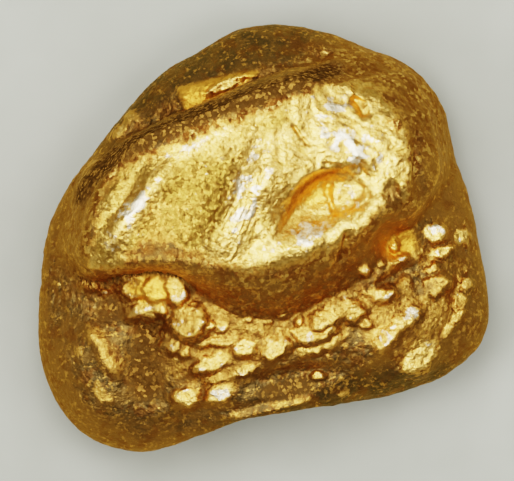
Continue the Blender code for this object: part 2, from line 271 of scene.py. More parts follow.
@dataclass(frozen=True)
class Patch:
    """An ellipse of the plan that is lifted or, with a height below 0, sunk.

    It is turned by degrees. It has its full height as far out as flat and none from end
    outward, both as shares of its radius.
    """

    x: float
    y: float
    length: float
    width: float
    turn: float
    height: float = 0.0
    flat: float = 0.1
    end: float = 1.25

    def share(self, plan: Array) -> Array:
        """Gives 1 in the middle of the ellipse and 0 from its end outward.

        Args:
            plan: The plan points.

        Returns:
            A share for each.
        """
        along, across = turned(plan - (self.x, self.y), self.turn)
        reach = np.hypot(along / (self.length / 2), across / (self.width / 2))
        return 1.0 - smooth_step(self.flat, self.end, reach)

    def lift(self, plan: Array) -> Array:
        """Gives the height of the patch at each plan point."""
        return self.height * self.share(plan)


@dataclass(frozen=True)
class Ridge:
    """A rounded ridge or, with a height below 0, a groove along a line of points."""

    points: tuple[Plan, ...]
    width: float
    height: float = 0.0
    taper: float = 0.25

    def share(self, plan: Array) -> Array:
        """Gives 1 on the line and 0 far from it; it tapers to nothing at both ends."""
        distance, _, along = near_line(plan, np.array(self.points))
        return tapered(along, self.taper) * np.exp(-((distance / self.width) ** 2) * 2.0)

    def lift(self, plan: Array) -> Array:
        """Gives the height of the ridge at each plan point."""
        return self.height * self.share(plan)


@dataclass(frozen=True)
class Ledge:
    """A line along which the ground on the right drops and then comes back.

    It has dropped fully at the distance edge, and it is back at the distance run.
    """

    points: tuple[Plan, ...]
    drop: float
    edge: float
    run: float
    taper: float = 0.3

    def lift(self, plan: Array) -> Array:
        """Gives its height at each plan point, 0 or less.

        Args:
            plan: The plan points.

        Returns:
            A height for each.
        """
        distance, side, along = near_line(plan, np.array(self.points))
        back = 1.0 - smooth_step(self.edge, self.run, distance)
        fall = smooth_step(0.0, self.edge, distance) * back
        return -self.drop * tapered(along, self.taper) * np.where(side < 0, fall, 0.0)


@dataclass(frozen=True)
class Leaf:
    """A thin flake, blunt where it starts and pointed where it ends."""

    start: Plan
    end: Plan
    width: float
    height: float
    swell: float = 0.6
    soft_side: float = 0.025
    soft_start: float = 0.03
    soft_end: float = 0.97

    def share(self, plan: Array) -> Array:
        """Gives 1 on the flake and 0 beside it.

        Args:
            plan: The plan points.

        Returns:
            A share for each.
        """
        off, run = plan - self.start, np.subtract(self.end, self.start)
        along = off @ run / (run @ run)
        across = np.abs(off @ (-run[1], run[0])) / np.hypot(*run)
        half = 0.5 * self.width * np.clip(1.0 - along, 0.0, 1.0) ** self.swell
        edge = smooth_step(-self.soft_side, self.soft_side, half - across)
        start = smooth_step(-self.soft_start, self.soft_start, along)
        return edge * start * (1.0 - smooth_step(self.soft_end, 1.0, along))


Form = Patch | Ridge | Ledge


def total_lift(forms: tuple[Form, ...], plan: Array) -> Array:
    """Adds up the heights of several forms at each plan point."""
    return sum((form.lift(plan) for form in forms), np.zeros(len(plan)))


def most_lift(forms: tuple[Patch, ...], plan: Array) -> Array:
    """Gives the largest height of several patches at each plan point."""
    return most(*(form.lift(plan) for form in forms))


def most_share(forms: tuple[Patch, ...], plan: Array) -> Array:
    """Gives the largest share of several patches at each plan point."""
    return most(*(form.share(plan) for form in forms))


# --- The nugget's parts ---


@dataclass(frozen=True)
class Pebble:
    """The plain worn pebble that every other form stands on or is sunk in."""

    crown: float = 2.14
    rim: float = 1.00
    rim_tilt: float = 0.12
    front_arch: float = 0.50
    front: float = -86.0
    arch_span: Span = Span(0.86, 1.0)
    back_rise: float = 0.06
    side_fall: float = 0.05
    rest_cut: float = 0.16
    top_share: float = 0.62
    shoulder: float = 2.6
    belly: float = 2.6
    outline_steps: int = 12
    outline: tuple[Plan, ...] = (
        (2.14, 0.00), (2.05, 0.43), (1.91, 0.84), (1.78, 1.31), (1.50, 1.68), (1.08, 1.88),
        (0.66, 2.05), (0.22, 2.14), (-0.22, 2.10), (-0.62, 1.90), (-0.97, 1.68), (-1.26, 1.40),
        (-1.52, 1.11), (-1.76, 0.78), (-2.00, 0.43), (-2.18, 0.00), (-2.26, -0.48),
        (-2.26, -1.00), (-2.12, -1.54), (-1.77, -1.97), (-1.23, -2.14), (-0.64, -1.98),
        (-0.19, -1.80), (0.18, -1.74), (0.54, -1.68), (0.94, -1.64), (1.38, -1.54),
        (1.86, -1.36), (2.22, -0.98), (2.24, -0.47),
    )
    underside: tuple[Form, ...] = (
        Patch(-1.10, 0.70, 1.30, 0.80, 40, -0.10),
        Patch(1.30, 0.20, 1.10, 0.80, -50, -0.08),
        Patch(-1.30, -1.10, 0.90, 0.70, 10, 0.08),
        Patch(0.50, 1.45, 1.10, 0.50, 10, 0.06),
        Patch(1.50, -1.00, 0.70, 0.60, 30, -0.07, 0.20),
    )

    def reach(self, azimuth: Array) -> Array:
        """Gives how far the outline is from the middle in each direction.

        Args:
            azimuth: The directions, in radians.

        Returns:
            A distance for each.
        """
        curve = closed_curve(self.outline, self.outline_steps)
        around = np.arctan2(curve[:, 1], curve[:, 0])
        order = np.argsort(around)
        return np.interp(azimuth, around[order], np.hypot(*curve[order].T), period=2 * math.pi)

    def rim_height(self, azimuth: Array) -> Array:
        """Gives the height of the widest line, which arches up over the front hollow."""
        arch = self.front_arch * self.arch_span.of(np.cos(azimuth - math.radians(self.front)))
        return self.rim + arch - self.rim_tilt * np.cos(azimuth)

    def out(self, plan: Array) -> Array:
        """Gives how far out each plan point lies, as a share of the outline's reach."""
        azimuth = np.arctan2(plan[:, 1], plan[:, 0])
        return np.clip(np.hypot(*plan.T) / self.reach(azimuth), 0.0, 1.0)

    def lean(self, plan: Array) -> Array:
        """Gives how much higher or lower the top is than level."""
        return self.back_rise * plan[:, 1] - self.side_fall * np.abs(plan[:, 0])

    def ground(self, plan: Array) -> Array:
        """Gives the height of the pebble's top at each plan point, without the slab.

        Args:
            plan: The plan points.

        Returns:
            A height for each.
        """
        azimuth = np.arctan2(plan[:, 1], plan[:, 0])
        rim = self.rim_height(azimuth)
        over = np.sqrt(1.0 - self.out(plan) ** self.shoulder)
        return rim + (self.crown + self.lean(plan) - rim) * over

    def plan_of(self, directions: Array) -> tuple[Array, Array, npt.NDArray[np.bool_]]:
        """Spreads the directions of a round ball over the plan.

        Args:
            directions: Unit vectors from the ball's middle.

        Returns:
            The plan points, their share of the outline's reach, and which of them are on top.
        """
        azimuth = np.arctan2(directions[:, 1], directions[:, 0])
        down = np.arccos(np.clip(directions[:, 2], -1.0, 1.0)) / math.pi
        on_top = down < self.top_share
        turn = np.where(on_top, down / self.top_share, (1 - down) / (1 - self.top_share))
        out = np.sin(math.pi / 2 * turn)
        aim = np.column_stack([np.cos(azimuth), np.sin(azimuth)])
        return (out * self.reach(azimuth))[:, None] * aim, out, on_top

    def under(self, plan: Array, out: Array) -> Array:
        """Gives the height of the round underside.

        Args:
            plan: The plan points.
            out: How far out each lies, as a share of the reach.

        Returns:
            A height for each.
        """
        depth = np.sqrt(np.clip(1.0 - out**self.belly, 0.0, 1.0))
        rim = self.rim_height(np.arctan2(plan[:, 1], plan[:, 0]))
        return rim * (1.0 - depth) - self.rest_cut * depth


@dataclass(frozen=True)
class Slab:
    """The raised, burnished slab with its rounded front lip."""

    height: float = 2.84
    dome: float = 0.085
    dome_y: float = 0.4
    edge_soft: float = 0.07
    edge_reach: Span = Span(0.05, 0.20)
    shine_above: float = 1.5
    foot_steps: int = 6
    edge_steps: int = 4
    # Each point's x and y, and how far inward the wall above it reaches.
    foot: tuple[tuple[float, float, float], ...] = (
        (-2.06, 0.02, 0.44), (-2.04, -0.26, 0.42), (-1.74, -0.48, 0.30), (-1.30, -0.37, 0.16),
        (-0.90, -0.39, 0.20), (-0.59, -0.58, 0.40), (-0.24, -0.74, 0.54), (0.11, -0.80, 0.62),
        (0.47, -0.71, 0.66), (0.79, -0.54, 0.60), (1.10, -0.28, 0.46), (1.36, 0.04, 0.32),
        (1.64, 0.26, 0.40), (1.86, 0.62, 0.50), (1.83, 1.04, 0.50), (1.67, 1.44, 0.54),
        (1.30, 1.80, 0.54), (0.86, 1.90, 0.50), (0.40, 1.72, 0.22), (-0.06, 1.56, 0.13),
        (-0.52, 1.37, 0.11), (-0.99, 1.20, 0.11), (-1.40, 1.00, 0.16), (-1.78, 0.64, 0.26),
    )
    forms: tuple[Form, ...] = (
        Patch(-0.66, 0.36, 1.50, 0.66, 54, -0.07),  # the long valley left of the middle
        Patch(-0.14, 0.34, 1.30, 0.50, 56, 0.06),  # the rise beside it
        Patch(0.90, 1.00, 1.00, 0.76, 10, 0.05),  # the field at the back right
        Patch(0.34, -0.02, 1.20, 0.36, 28, 0.07, 0.20),  # the swelling over the front lip
        Patch(1.28, 0.41, 0.24, 0.32, 20, -0.08, 0.20),  # the pit at the scoop's far end
        Ridge(
            ((-1.66, -0.34), (-1.48, -0.02), (-1.26, 0.28), (-1.06, 0.54), (-0.84, 0.78)),
            width=0.17,
            height=0.08,
        ),
        Ridge(((-1.76, -0.26), (-1.68, 0.06), (-1.48, 0.38), (-1.32, 0.70)), 0.12, 0.04),
        Ridge(((0.84, 0.10), (0.80, -0.12), (0.74, -0.34)), 0.06, -0.08),
        Ridge(((1.00, 0.12), (0.98, -0.06), (0.89, -0.22)), 0.06, -0.06),
        Ridge(((1.50, 0.30), (1.50, 0.70), (1.48, 1.10)), 0.07, -0.06),  # down the right flank
        Ridge(((0.26, 1.13), (0.36, 1.00), (0.46, 0.88)), 0.022, -0.018),  # a crack
        Ridge(((0.88, 1.42), (0.95, 1.30), (1.02, 1.14)), 0.08, -0.06),  # a notch between folds
    )
    # Patches where the slab gets painted shade, a darker, rougher olive gold; most lie in the
    # long valley.
    dull_and_shade: tuple[Patch, ...] = (
        Patch(-0.66, 0.34, 1.50, 0.95, 54, 1.0, 0.45, 1.30),
        Patch(-1.30, 0.30, 1.50, 0.62, 56, 0.7, 0.50, 1.20),
        Patch(-1.04, 0.04, 0.76, 0.60, 30, 1.0, 0.50, 1.20),
        Patch(-1.42, 0.64, 0.60, 0.30, 56, 1.0, 0.40, 1.20),
        Patch(0.09, 1.15, 0.50, 0.30, 20, 0.8, 0.30, 1.20),
    )
    hollow: Patch = Patch(0.55, 0.36, 0.90, 0.50, 24, 0.20, 0.5, 1.2)
    matt: tuple[Patch, ...] = (
        Patch(-0.99, 0.12, 0.80, 0.60, 30, 0.24, 0.3, 1.2),
        Patch(-1.43, 0.64, 0.56, 0.30, 56, 0.26, 0.3, 1.2),
    )
    # Patches where highlights are painted as pale flecks.
    painted_highlight: tuple[Patch, ...] = (
        Patch(-1.29, 0.25, 1.06, 0.26, 58),
        Patch(-0.16, 0.42, 1.10, 0.42, 70),
        Patch(0.88, 0.88, 0.90, 0.50, -28),
        Patch(0.64, 1.26, 0.60, 0.34, 10),
        Patch(0.39, 0.06, 0.90, 0.36, 26),
        Patch(0.84, 0.38, 0.40, 0.34, 60),
        Patch(-0.70, 0.95, 0.80, 0.26, 24),
    )
    # Painted shadow: a dark band along the slab's back foot, under its raised edge.
    foot_shadow: Ridge = Ridge(
        (
            (-1.92, 0.14), (-1.76, 0.52), (-1.47, 0.81), (-1.17, 0.96), (-0.87, 1.11),
            (-0.66, 1.19), (-0.42, 1.28), (-0.16, 1.36), (0.18, 1.48), (0.60, 1.63),
            (0.95, 1.74),
        ),
        width=0.15,
        taper=0.10,
    )
    # Painted shade: a dark band along the foot of the front lip.
    lip_shadow: Ridge = Ridge(
        (
            (-0.94, -0.42), (-0.59, -0.59), (-0.24, -0.74), (0.11, -0.80), (0.46, -0.73),
            (0.81, -0.58), (1.20, -0.10),
        ),
        width=0.10,
        taper=0.15,
    )
    # Painted shade: a thin dark red-brown line along the scoop's rim.
    scoop_rim_shade: Ridge = Ridge(
        ((0.12, 0.06), (0.22, 0.26), (0.34, 0.46), (0.50, 0.60), (0.70, 0.65), (0.92, 0.54)),
        width=0.035,
    )
    pit: Patch = Patch(1.27, 0.40, 0.22, 0.34, 20, 0, 0.3)
    notch: Patch = Patch(0.96, 1.28, 0.20, 0.30, 25, 0, 0.3)
    bright_edge: tuple[Plan, ...] = (
        (-1.80, -0.38), (-1.70, -0.10), (-1.63, 0.18), (-1.56, 0.48), (-1.36, 0.71),
        (-1.06, 0.81), (-0.64, 1.01), (-0.23, 1.16), (0.13, 1.28), (0.42, 1.41), (0.76, 1.54),
        (1.09, 1.50), (1.29, 1.33), (1.26, 1.12), (1.36, 0.92), (1.43, 0.58), (1.39, 0.38),
        (1.18, 0.31), (0.98, 0.13), (0.79, -0.06), (0.46, -0.20), (0.10, -0.32), (-0.22, -0.30),
        (-0.66, -0.15), (-1.00, -0.04), (-1.24, -0.06), (-1.38, -0.26), (-1.58, -0.40),
    )
    scoop: tuple[Form, ...] = (
        Patch(0.62, 0.34, 1.16, 0.60, 32, -0.15, 0.30),
        Patch(0.53, 0.46, 0.46, 0.34, 20, -0.030, 0.50),
        Patch(0.81, 0.35, 0.30, 0.28, 0, -0.030, 0.30),
        Patch(0.57, 0.16, 0.26, 0.18, 60, -0.030, 0.10),
        Ledge(
            (
                (-0.22, -0.18), (0.04, 0.00), (0.20, 0.23), (0.32, 0.48), (0.48, 0.63),
                (0.68, 0.68), (0.90, 0.56),
            ),
            drop=0.065,
            edge=0.09,
            run=0.42,
        ),
        Ridge(((0.70, 0.66), (0.66, 0.42), (0.72, 0.20)), 0.040, -0.040, 0.15),
        Patch(0.74, 0.43, 0.13, 0.15, 0, 0.020, 0.40),
    )
    # Where warm reflected light is painted orange on the scoop's floor.
    floor: Patch = Patch(0.48, 0.47, 0.50, 0.36, 24, 0, 0.5, 1.2)

    def share(self, plan: Array) -> Array:
        """Gives how much of the slab's height is there: 1 inside, 0 from the foot outward.

        Args:
            plan: The plan points.

        Returns:
            A share for each.
        """
        foot = closed_curve(self.foot, self.foot_steps)
        foot = np.vstack([foot, foot[:1]])
        distance, side, along = near_line(plan, foot)
        width = np.interp(along * (len(foot) - 1), np.arange(len(foot)), foot[:, 2])
        return np.sin(math.pi / 2 * np.clip(distance * side / width, 0.0, 1.0))

    def _near_edge(self, plan: Array) -> tuple[Array, Array, Array]:
        """Measures plan points against the bright edge."""
        edge = closed_curve(self.bright_edge, self.edge_steps)
        return near_line(plan, np.vstack([edge, edge[:1]]))

    def brightness(self, plan: Array) -> Array:
        """Gives how burnished the slab is: 1 inside its bright edge, 0 from outside it."""
        distance, side, _ = self._near_edge(plan)
        return smooth_step(-self.edge_soft, self.edge_soft, -distance * side)

    def edge_band(self, plan: Array) -> Array:
        """Gives 1 on the bright edge and 0 away from it on both sides."""
        distance, _, _ = self._near_edge(plan)
        return 1.0 - self.edge_reach.of(distance)

    def top(self, plan: Array) -> Array:
        """Gives the height of the slab's gently domed top, before the pebble's lean."""
        return self.height - self.dome * (plan[:, 0] ** 2 + (plan[:, 1] - self.dome_y) ** 2)

    def lift(self, plan: Array) -> Array:
        """Gives the height of the forms on the slab."""
        return total_lift(self.forms + self.scoop, plan)


@dataclass(frozen=True)
class Shelf:
    """The smooth worn shelf behind the slab, with bright streaks along its rim."""

    forms: tuple[Form, ...] = (
        Patch(0.98, 1.72, 1.00, 0.24, -8, -0.05, 0.20),
        Ridge(((-1.90, 0.42), (-1.75, 0.62), (-1.58, 0.82)), 0.08, 0.06),
        Ridge(((-1.54, 0.91), (-1.39, 1.11), (-1.22, 1.28)), 0.09, 0.06),
    )
    groove: Ridge = Ridge(
        ((-1.44, 0.98), (-1.00, 1.22), (-0.53, 1.38), (-0.07, 1.55), (0.30, 1.66)),
        width=0.09,
        height=-0.045,
    )
    # Where shade is painted on the shelf behind the slab.
    painted_shade_patch: Patch = Patch(-0.55, 1.62, 3.20, 0.90, 27, 0, 0.5, 1.2)
    # Painted shade on the shelf's left end, laid on as dark brown.
    grime_and_shade: Patch = Patch(-1.08, 1.38, 1.10, 0.50, 44, 0, 0.5, 1.1)
    streaks: tuple[Ridge, ...] = (
        Ridge(((-1.92, 0.40), (-1.78, 0.60), (-1.62, 0.80)), 0.060),
        Ridge(((-1.56, 0.92), (-1.40, 1.12), (-1.24, 1.28)), 0.065),
    )
    flake: Leaf = Leaf((-0.82, 1.37), (-0.04, 1.65), 0.25, 0.035)
    blade: Patch = Patch(-0.37, 1.51, 0.60, 0.15, 24, 0.012, 0.6, 1.1)
    blade_level: float = 0.5

    def lift(self, plan: Array) -> Array:
        """Gives the height of the groove and the streaks."""
        return total_lift((*self.forms, self.groove), plan)


@dataclass(frozen=True)
class Lobe:
    """The smooth lobe at the front left, cut off by a groove with a pit at its upper end."""

    forms: tuple[Form, ...] = (
        Patch(-1.64, -1.30, 1.20, 0.80, 104, 0.10),
        Patch(-1.48, -0.68, 0.80, 0.54, 10, -0.06),
    )
    streak: Ridge = Ridge(
        ((-1.80, -0.80), (-1.60, -1.03), (-1.52, -1.22), (-1.34, -1.42)),
        width=0.10,
        height=0.06,
    )
    pit: Patch = Patch(-1.13, -0.88, 0.32, 0.28, 0, -0.10, 0.40)
    groove: Ridge = Ridge(
        ((-1.10, -0.80), (-1.12, -1.05), (-1.20, -1.35), (-1.08, -1.80)),
        width=0.30,
        height=-0.10,
    )
    grime_and_shade: Patch = Patch(-1.50, -0.70, 0.46, 0.36, 10, 0, 0.5, 1.2)

    def lift(self, plan: Array) -> Array:
        """Gives the height of the lobe, its groove and its pit."""
        return total_lift((*self.forms, self.streak, self.pit, self.groove), plan)


@dataclass(frozen=True)
class Terrace:
    """The rubbly terrace below the front lip."""

    forms: tuple[Form, ...] = (
        Patch(1.30, -0.40, 0.60, 0.18, 30, -0.09, 0.20),
        Patch(1.29, -0.05, 0.42, 0.40, 0, -0.07, 0.40, 1.20),
        Patch(0.20, -1.40, 1.30, 0.26, 10, -0.07, 0.20),
        Patch(1.10, -1.32, 0.50, 0.30, 30, -0.05, 0.20),
        Ridge(((1.02, -1.16), (1.31, -0.87), (1.60, -0.68)), 0.11, 0.09),
    )
    ledge: Ridge = Ridge(
        ((-0.49, -1.80), (-0.14, -1.71), (0.26, -1.62), (0.58, -1.54)),
        width=0.045,
        height=0.07,
    )
    # Where shade is painted along the terrace's front.
    painted_shade_patch: Patch = Patch(0.75, -1.62, 3.00, 0.62, 14, 0, 0.5, 1.2)
    # Patches where warm reflected light is painted orange, in hollows beside the lumps.
    painted_reflection: tuple[Patch, ...] = (
        Patch(1.30, -0.04, 0.52, 0.38, 0, 0, 0.6, 1.1),
        Patch(-1.12, -0.52, 0.50, 0.34, 0, 0, 0.5, 1.1),
    )
    rise: float = 0.30
    level: float = 0.60
    flat: float = 0.60
    end: float = 1.32
    lean: Plan = (0.10, -0.10)
    lean_spread: float = 0.16
    beside_slab: Span = Span(0.0, 0.35)
    lifting: Span = Span(0.15, 0.55)
    bare: tuple[Patch, ...] = (
        Patch(0.60, -1.28, 1.60, 0.44, 8, 0, 0.6),
        Patch(0.12, -1.46, 1.00, 0.34, 14, 0, 0.5),
        Patch(1.28, -0.36, 0.90, 0.20, 20, 0, 0.5),
        Patch(1.62, -0.43, 0.46, 0.32, 30, 0, 0.5),
        Patch(0.90, -1.00, 0.26, 0.20, 20, 0, 0.5),
    )
    grime_and_shade: Patch = Patch(0.22, -1.50, 0.80, 0.28, 14, 0, 0.5, 1.2)
    rubble: tuple[Patch, ...] = (
        Patch(0.50, -0.90, 3.5, 1.16, 8, 0.45, 0.78),
        Patch(1.60, -0.52, 1.1, 0.90, 20, 0.60, 0.70),
    )
    # Each lump's x, y, length, width, turn in degrees, and shine from 0 to 1.
    lumps: tuple[tuple[float, float, float, float, float, float], ...] = (
        (-1.27, -0.47, 0.34, 0.34, 20, 0.50), (-1.06, -0.50, 0.34, 0.36, 70, 0.64),
        (-0.87, -0.50, 0.26, 0.42, 14, 0.64), (-1.16, -0.70, 0.48, 0.24, 8, 0.72),
        (-0.76, -0.82, 0.42, 0.40, 0, 0.60), (-0.57, -0.83, 0.16, 0.18, 0, 1.00),
        (-0.42, -0.87, 0.14, 0.12, 0, 0.70), (-0.46, -1.02, 0.38, 0.12, 8, 0.45),
        (-0.93, -1.06, 0.22, 0.16, 0, 0.50), (-0.96, -0.93, 0.18, 0.13, 0, 0.45),
        (-0.78, -1.14, 0.12, 0.12, 0, 0.40), (-0.50, -1.23, 0.46, 0.18, 24, 0.70),
        (-0.20, -1.08, 0.26, 0.18, 5, 0.80), (0.11, -1.08, 0.36, 0.26, 30, 0.70),
        (-0.19, -1.31, 0.24, 0.12, 22, 0.65), (-0.78, -1.58, 0.30, 0.24, 0, 0.70),
        (-0.44, -1.55, 0.32, 0.17, 22, 0.70), (-0.48, -1.39, 0.18, 0.09, 10, 0.45),
        (-0.17, -0.79, 0.14, 0.10, 0, 0.55), (0.03, -0.82, 0.12, 0.08, 0, 0.50),
        (0.20, -0.76, 0.14, 0.09, 15, 0.55), (0.66, -0.74, 0.56, 0.26, 38, 0.55),
        (0.51, -0.92, 0.50, 0.28, 20, 0.55), (0.35, -0.82, 0.10, 0.18, 0, 1.00),
        (0.61, -0.89, 0.17, 0.14, 0, 0.95), (0.54, -1.07, 0.50, 0.14, 22, 0.65),
        (0.89, -0.73, 0.26, 0.22, 0, 0.60), (1.19, -0.55, 0.28, 0.16, 8, 0.75),
        (1.00, -0.85, 0.14, 0.12, 0, 0.60), (1.19, -0.97, 0.36, 0.24, 35, 0.65),
        (1.41, -0.78, 0.40, 0.16, 33, 0.75), (1.56, -1.19, 0.50, 0.33, 50, 0.80),
        (1.83, -0.92, 0.20, 0.10, 45, 0.60), (1.92, -0.78, 0.22, 0.12, 45, 0.60),
        (1.71, -0.47, 0.34, 0.26, 30, 0.25), (2.02, -0.45, 0.18, 0.18, 0, 0.60),
        (1.97, -0.62, 0.20, 0.14, 70, 0.45), (1.66, -0.30, 0.20, 0.09, 20, 0.45),
        (0.99, -0.30, 0.15, 0.16, 0, 0.65), (1.16, -0.24, 0.12, 0.09, 0, 0.55),
        (1.34, -0.20, 0.20, 0.09, 10, 0.60), (1.29, -0.06, 0.12, 0.14, 0, 0.90),
        (1.71, 0.05, 0.24, 0.23, 0, 1.00), (1.76, -0.14, 0.36, 0.13, 28, 0.85),
        (1.99, 0.01, 0.19, 0.21, 0, 0.75), (0.54, -1.36, 0.17, 0.11, 5, 0.60),
        (0.78, -1.53, 0.15, 0.08, 10, 0.50), (-1.62, -1.53, 0.26, 0.12, -45, 0.50),
        (-1.72, -0.46, 0.20, 0.11, -20, 0.45), (-1.58, -0.54, 0.13, 0.08, 0, 0.40),
        (-1.97, -1.35, 0.10, 0.09, 0, 0.50), (-1.84, -1.12, 0.10, 0.09, 0, 0.50),
    )

    def leaning(self, number: int) -> Plan:
        """Gives how steeply the top of one lump leans to the right and to the back."""
        right = self.lean[0] + self.lean_spread * math.sin(5 * number)
        return right, self.lean[1] + self.lean_spread * math.cos(7 * number)

    def gravel(self, plan: Array) -> Array:
        """Gives how rubbly the ground is at each plan point."""
        return most_lift(self.rubble, plan)

    def lift(self, plan: Array) -> Array:
        """Gives the height of the hollows and long ridges between the lumps."""
        return total_lift((*self.forms, self.ledge), plan)


# --- The nugget's mesh ---


class Skin:
    """The vertices of a mesh as arrays, with the measures that sculpting needs."""

    def __init__(self, mesh: bpy.types.Mesh) -> None:
        """Reads a mesh whose vertices and edges stay the same while it is sculpted.

        Args:
            mesh: The mesh to read and to sculpt.
        """
        self.mesh = mesh
        self.places = self._read("co")
        edges = np.empty(len(mesh.edges) * 2, np.int32)
        mesh.edges.foreach_get("vertices", edges)
        self.edges = edges.reshape(-1, 2)
        self.joined = np.bincount(self.edges.ravel(), minlength=len(self.places))

    def _read(self, name: str) -> Array:
        """Reads one kind of vector for every vertex.

        Args:
            name: The name of the vector in the mesh.

        Returns:
            One row for each vertex.
        """
        rows = np.empty(len(self.mesh.vertices) * 3, np.float32)
        self.mesh.vertices.foreach_get(name, rows)
        return rows.reshape(-1, 3).astype(float)

    @property
    def plan(self) -> Array:
        """Gives the vertices' places in the plan."""
        return self.places[:, :2]

    def move(self, places: Array) -> None:
        """Puts every vertex on a new place.

        Args:
            places: One row for each vertex.
        """
        self.places = places
        self.mesh.vertices.foreach_set("co", places.astype(np.float32).ravel())
        self.mesh.update()

    def normals(self) -> Array:
        """Gives the outward direction at every vertex."""
        return self._read("normal")

    def neighbour_mean(self, values: Array) -> Array:
        """Averages the values of each vertex's neighbours.

        Args:
            values: One row for each vertex.

        Returns:
            The averages, in the same layout.
        """
        first, second = self.edges.T
        count = len(self.places)
        sums = [
            np.bincount(first, column[second], count) + np.bincount(second, column[first], count)
            for column in values.T
        ]
        return np.column_stack(sums) / self.joined[:, None]

    def ease(self, share: Array, passes: int) -> None:
        """Evens out the vertices, each by its own share, several times.

        Args:
            share: How far each vertex goes to its neighbours' middle.
            passes: How often.
        """
        places = self.places
        for _ in range(passes):
            places = places + share[:, None] * (self.neighbour_mean(places) - places)
        self.move(places)

    def hollowness(self, passes: int) -> Array:
        """Measures how deep each vertex lies below its smoothed surroundings.

        Args:
            passes: How far around the surroundings reach, in steps of an edge.

        Returns:
            The depth, which is below 0 on a ridge.
        """
        soft = self.places
        for _ in range(passes):
            soft = 0.5 * soft + 0.5 * self.neighbour_mean(soft)
        return np.einsum("ij,ij->i", soft - self.places, self.normals())

    def keep(self, name: str, values: Array) -> None:
        """Stores a value for each vertex that the finish can read."""
        layer = self.mesh.attributes.new(name, "FLOAT", "POINT")
        layer.data.foreach_set("value", values.astype(np.float32))


@dataclass(frozen=True)
class FineRelief:
    """The finest relief: foil-like folds on the slab and gravel on the terrace."""

    foil: Relief = Relief(0.014, 0.075)
    foil_folds: Relief = Relief(0.009, 0.13, 2)
    swells: Relief = Relief(0.014, 0.17)
    foil_grain: Relief = Relief(0.0050, 0.045)
    crumpled: Patch = Patch(0.95, 0.85, 1.9, 1.8, 20, flat=0.3)
    smoothing: float = 0.7
    foil_strength: Pair = (0.45, 0.55)
    fold_strength: Pair = (0.25, 0.75)
    swell_strength: Pair = (0.50, 0.50)
    lump_smoothing: float = 0.7
    gravel_rows: Relief = Relief(0.010, 0.19, 2)
    gravel: Relief = Relief(0.010, 0.085, 2)
    fading: Span = Span(0.0, 0.4)
    gravel_end: Span = Span(1.0, 0.9)
    row_turn: float = 26.0
    row_stretch: float = 0.60
    pitting: Relief = Relief(0.022, 0.07)
    crust: Relief = Relief(1.0, 0.13, 3)
    crust_least: float = 0.002
    crust_more: float = 0.010
    grain: Relief = Relief(0.005, 0.055)
    flanks: Relief = Relief(0.006, 0.24, 3)
    bend: Relief = Relief(0.06, 0.30)
    fold_middle: Plan = (0.55, 0.30)
    fold_stretch: float = 0.35
    ridge_turn: float = 58.0
    scoop_side: Span = Span(-0.45, 0.25)

    def fold_places(self, grain: Grain, places: Array) -> Array:
        """Gives coordinates in which the slab's folds run round the scoop and up the ridge.

        Args:
            grain: The noise that bends the folds.
            places: The places on the nugget.

        Returns:
            A place for each, stretched along the folds.
        """
        plan = places[:, :2]
        bends = [grain.smooth(places + shift, self.bend.size) for shift in (1.7, 5.3)]
        bent = plan + self.bend.height * np.column_stack(bends)
        off = bent - self.fold_middle
        angle = np.arctan2(off[:, 1], off[:, 0])
        around = np.column_stack([np.hypot(*off.T), self.fold_stretch * angle])
        along, across = turned(bent, self.ridge_turn)
        up_ridge = np.column_stack([self.fold_stretch * along, across])
        right = self.scoop_side.of(plan[:, 0] - 0.5 * plan[:, 1] + 0.2)[:, None]
        return np.column_stack([right * around + (1.0 - right) * up_ridge, 0.5 * places[:, 2]])

    def row_places(self, places: Array) -> Array:
        """Gives coordinates in which the gravel lies in rows."""
        along, across = turned(places[:, :2], self.row_turn)
        return np.column_stack([self.row_stretch * along, across, places[:, 2]])


